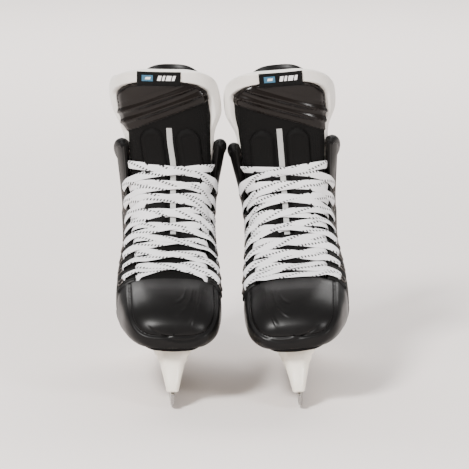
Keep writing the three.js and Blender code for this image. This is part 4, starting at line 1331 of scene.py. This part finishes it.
def make_rivets(skate):
    front, rear = HOLDER_Y
    ends = ((front + 21, WINDOW_Y[0] + 6), (WINDOW_Y[1] - 4, rear - 4))
    ys = [y for y0, y1 in ends for y in (y0 + 13, y1 - 13)]
    for k, (x, y) in enumerate((x, y) for y in ys for x in (21.6, -21.6)):
        under = sole_z(y) - SOLE_GAP - FLANGE_T
        rings = []
        turn = np.linspace(0, 2 * PI, 24, endpoint=False)
        for r, drop in RIVET_PROFILE:
            rings.append(np.column_stack([x + r * np.cos(turn), y + r * np.sin(turn), np.full(24, under - drop)]))
        obj = sweep(skate, f"rivet_{k + 1}", np.array(rings))
        finish_piece(obj, "dark_metal", skate.body("skate"), skate.body(f"holder_rivet_{k + 1}"))


def make_guard(skate):
    """The tendon guard with the creases it flexes at."""
    vs = np.linspace(-GUARD_V, GUARD_V, 81)
    rows = []
    for s in np.linspace(0, 1, 56):
        start = cuff_top(np.abs(vs)) + 0.03
        top = GUARD_TOP - 0.6 * (np.abs(vs) / GUARD_V) ** 3
        phi = np.array([
            (SEAM_PHI + (eyestay_edge(start[k], side) - SEAM_PHI) * abs(v) / EYESTAY_V) * side
            for k, (v, side) in enumerate((v, 1 if v >= 0 else -1) for v in vs)
        ])
        rows.append((start + (top - start) * s, phi * (1 - GUARD_TAPER * s) - 0.05 * s * smooth(s, 0, 1)))
    t, phi = np.array([r[0] for r in rows]), np.array([r[1] for r in rows])
    s = np.linspace(0, 1, 56)[:, None]
    rim = np.minimum(np.minimum(1 - s, 1) * 14, (GUARD_V - np.abs(vs))[None] * 60)
    roll = 0.9 * (1 - smooth(rim, 0.8, 2.0)) - 1.1 * (1 - smooth(rim, 0, 0.7))
    crease = -0.8 * sum(ridge(s, at, 0.018) for at in (0.12, 0.24, 0.36)) * smooth(rim, 1.5, 4)
    outer = skin(t, phi, -0.4 + roll + crease)
    inner = skin(t, phi, -3 + 0.4 * (1 - smooth(rim, 0, 1)))
    obj = shell(skate, "tendon_guard_panel", outer, inner, grid_uv(outer))
    finish_piece(obj, "cap", skate.body("tendon_guard"), skate.body("tendon_guard"))


def make_footbed(skate):
    lateral, medial = sole_outline(SHELL_T + 5.8, 11.5)
    ys = np.linspace(-128, min(max(p[1] for p in lateral), max(p[1] for p in medial)), 120)
    edges = edges_at((lateral, medial), ys)
    rows = []
    for k, y in enumerate(ys):
        mid, half = (edges[0][k] + edges[1][k]) / 2, (edges[0][k] - edges[1][k]) / 2
        near = min(y - ys[0], ys[-1] - y) / 14
        half *= math.sqrt(max(1 - (1 - min(near, 1)) ** 2, 0.03))
        z = sole_z(y) + SOLE_T + SOLE_GAP
        ring = [(mid - half, y, z), (mid - half, y, z + 2.6), (mid - half + 0.9, y, z + 3.4)]
        ring += [(mid + half * f, y, z + 3.5) for f in np.linspace(-0.9, 0.9, 9)]
        ring += [(mid + half - 0.9, y, z + 3.4), (mid + half, y, z + 2.6), (mid + half, y, z)]
        rows.append(ring)
    rows = np.array(rows)
    obj = sweep(skate, "insole", rows, True, top_uv(rows))
    finish_piece(obj, "lining", skate.body("skate"), skate.body("footbed"))


# ---------- both skates ----------
for wearer in ("right", "left"):
    skate = Skate(wearer)
    make_toe_cap(skate)
    make_outsole(skate)
    make_footbed(skate)
    for side, name in ((1, "lateral"), (-1, "medial")):
        make_quarter(skate, side, f"{name}_quarter")
        make_eyestay(skate, side, f"{name}_eyestay")
    make_liner(skate)
    make_guard(skate)
    make_tongue(skate)
    make_felt(skate)
    make_label(skate)
    make_strip(skate)
    make_laces(skate)
    make_holder(skate)
    make_runner(skate)
    make_trigger(skate)
    make_rivets(skate)


# ---------- floor, light and camera ----------
# name, place, target, size in m, power in W, colour
LIGHTS = [
    ("key_softbox", (-0.9, -1.7, 1.7), (0, 0, 0.15), (0.5, 0.5), 105, (1, 0.985, 0.965)),
    ("fill_softbox", (1.7, -1.7, 1.2), (0, 0, 0.12), (0.5, 0.5), 30, (1, 0.99, 0.98)),
    ("far_softbox", (0.0, 3.2, 3.0), (0, 3.4, 0), (5.0, 3.0), 330, (1, 0.985, 0.97)),
]


def make_stage():
    mesh = bpy.data.meshes.new("floor")
    mesh.from_pydata([(-14, -14, 0), (14, -14, 0), (14, 14, 0), (-14, 14, 0)], [], [(0, 1, 2, 3)])
    floor = bpy.data.objects.new("floor", mesh)
    bpy.context.scene.collection.objects.link(floor)
    paint = Paint("floor_pale", (0.88, 0.815, 0.785), 0.85, Specular_IOR_Level=0.1)
    floor.data.materials.append(paint.material)
    for name, where, target, size, power, color in LIGHTS:
        light = bpy.data.lights.new(name, "AREA")
        light.shape = "RECTANGLE"
        light.size, light.size_y = size
        light.energy = power
        light.color = color
        obj = bpy.data.objects.new(name, light)
        obj.location = where
        obj.rotation_euler = (Vector(target) - Vector(where)).to_track_quat("-Z", "Y").to_euler()
        bpy.context.scene.collection.objects.link(obj)
    world = bpy.data.worlds.new("soft")
    world.use_nodes = True
    world.node_tree.nodes["Background"].inputs[0].default_value = (1, 0.985, 0.97, 1)
    world.node_tree.nodes["Background"].inputs[1].default_value = 0.55
    bpy.context.scene.world = world


def make_camera():
    data = bpy.data.cameras.new("photo_camera")
    data.lens = 196
    data.sensor_width = 36
    obj = bpy.data.objects.new("photo_camera", data)
    obj.location = (0.0042, -2.464, 0.578)
    obj.rotation_euler = (Vector((0.0042, -0.0023, 0.144)) - obj.location).to_track_quat("-Z", "Y").to_euler()
    bpy.context.scene.collection.objects.link(obj)
    bpy.context.scene.camera = obj


make_stage()
make_camera()
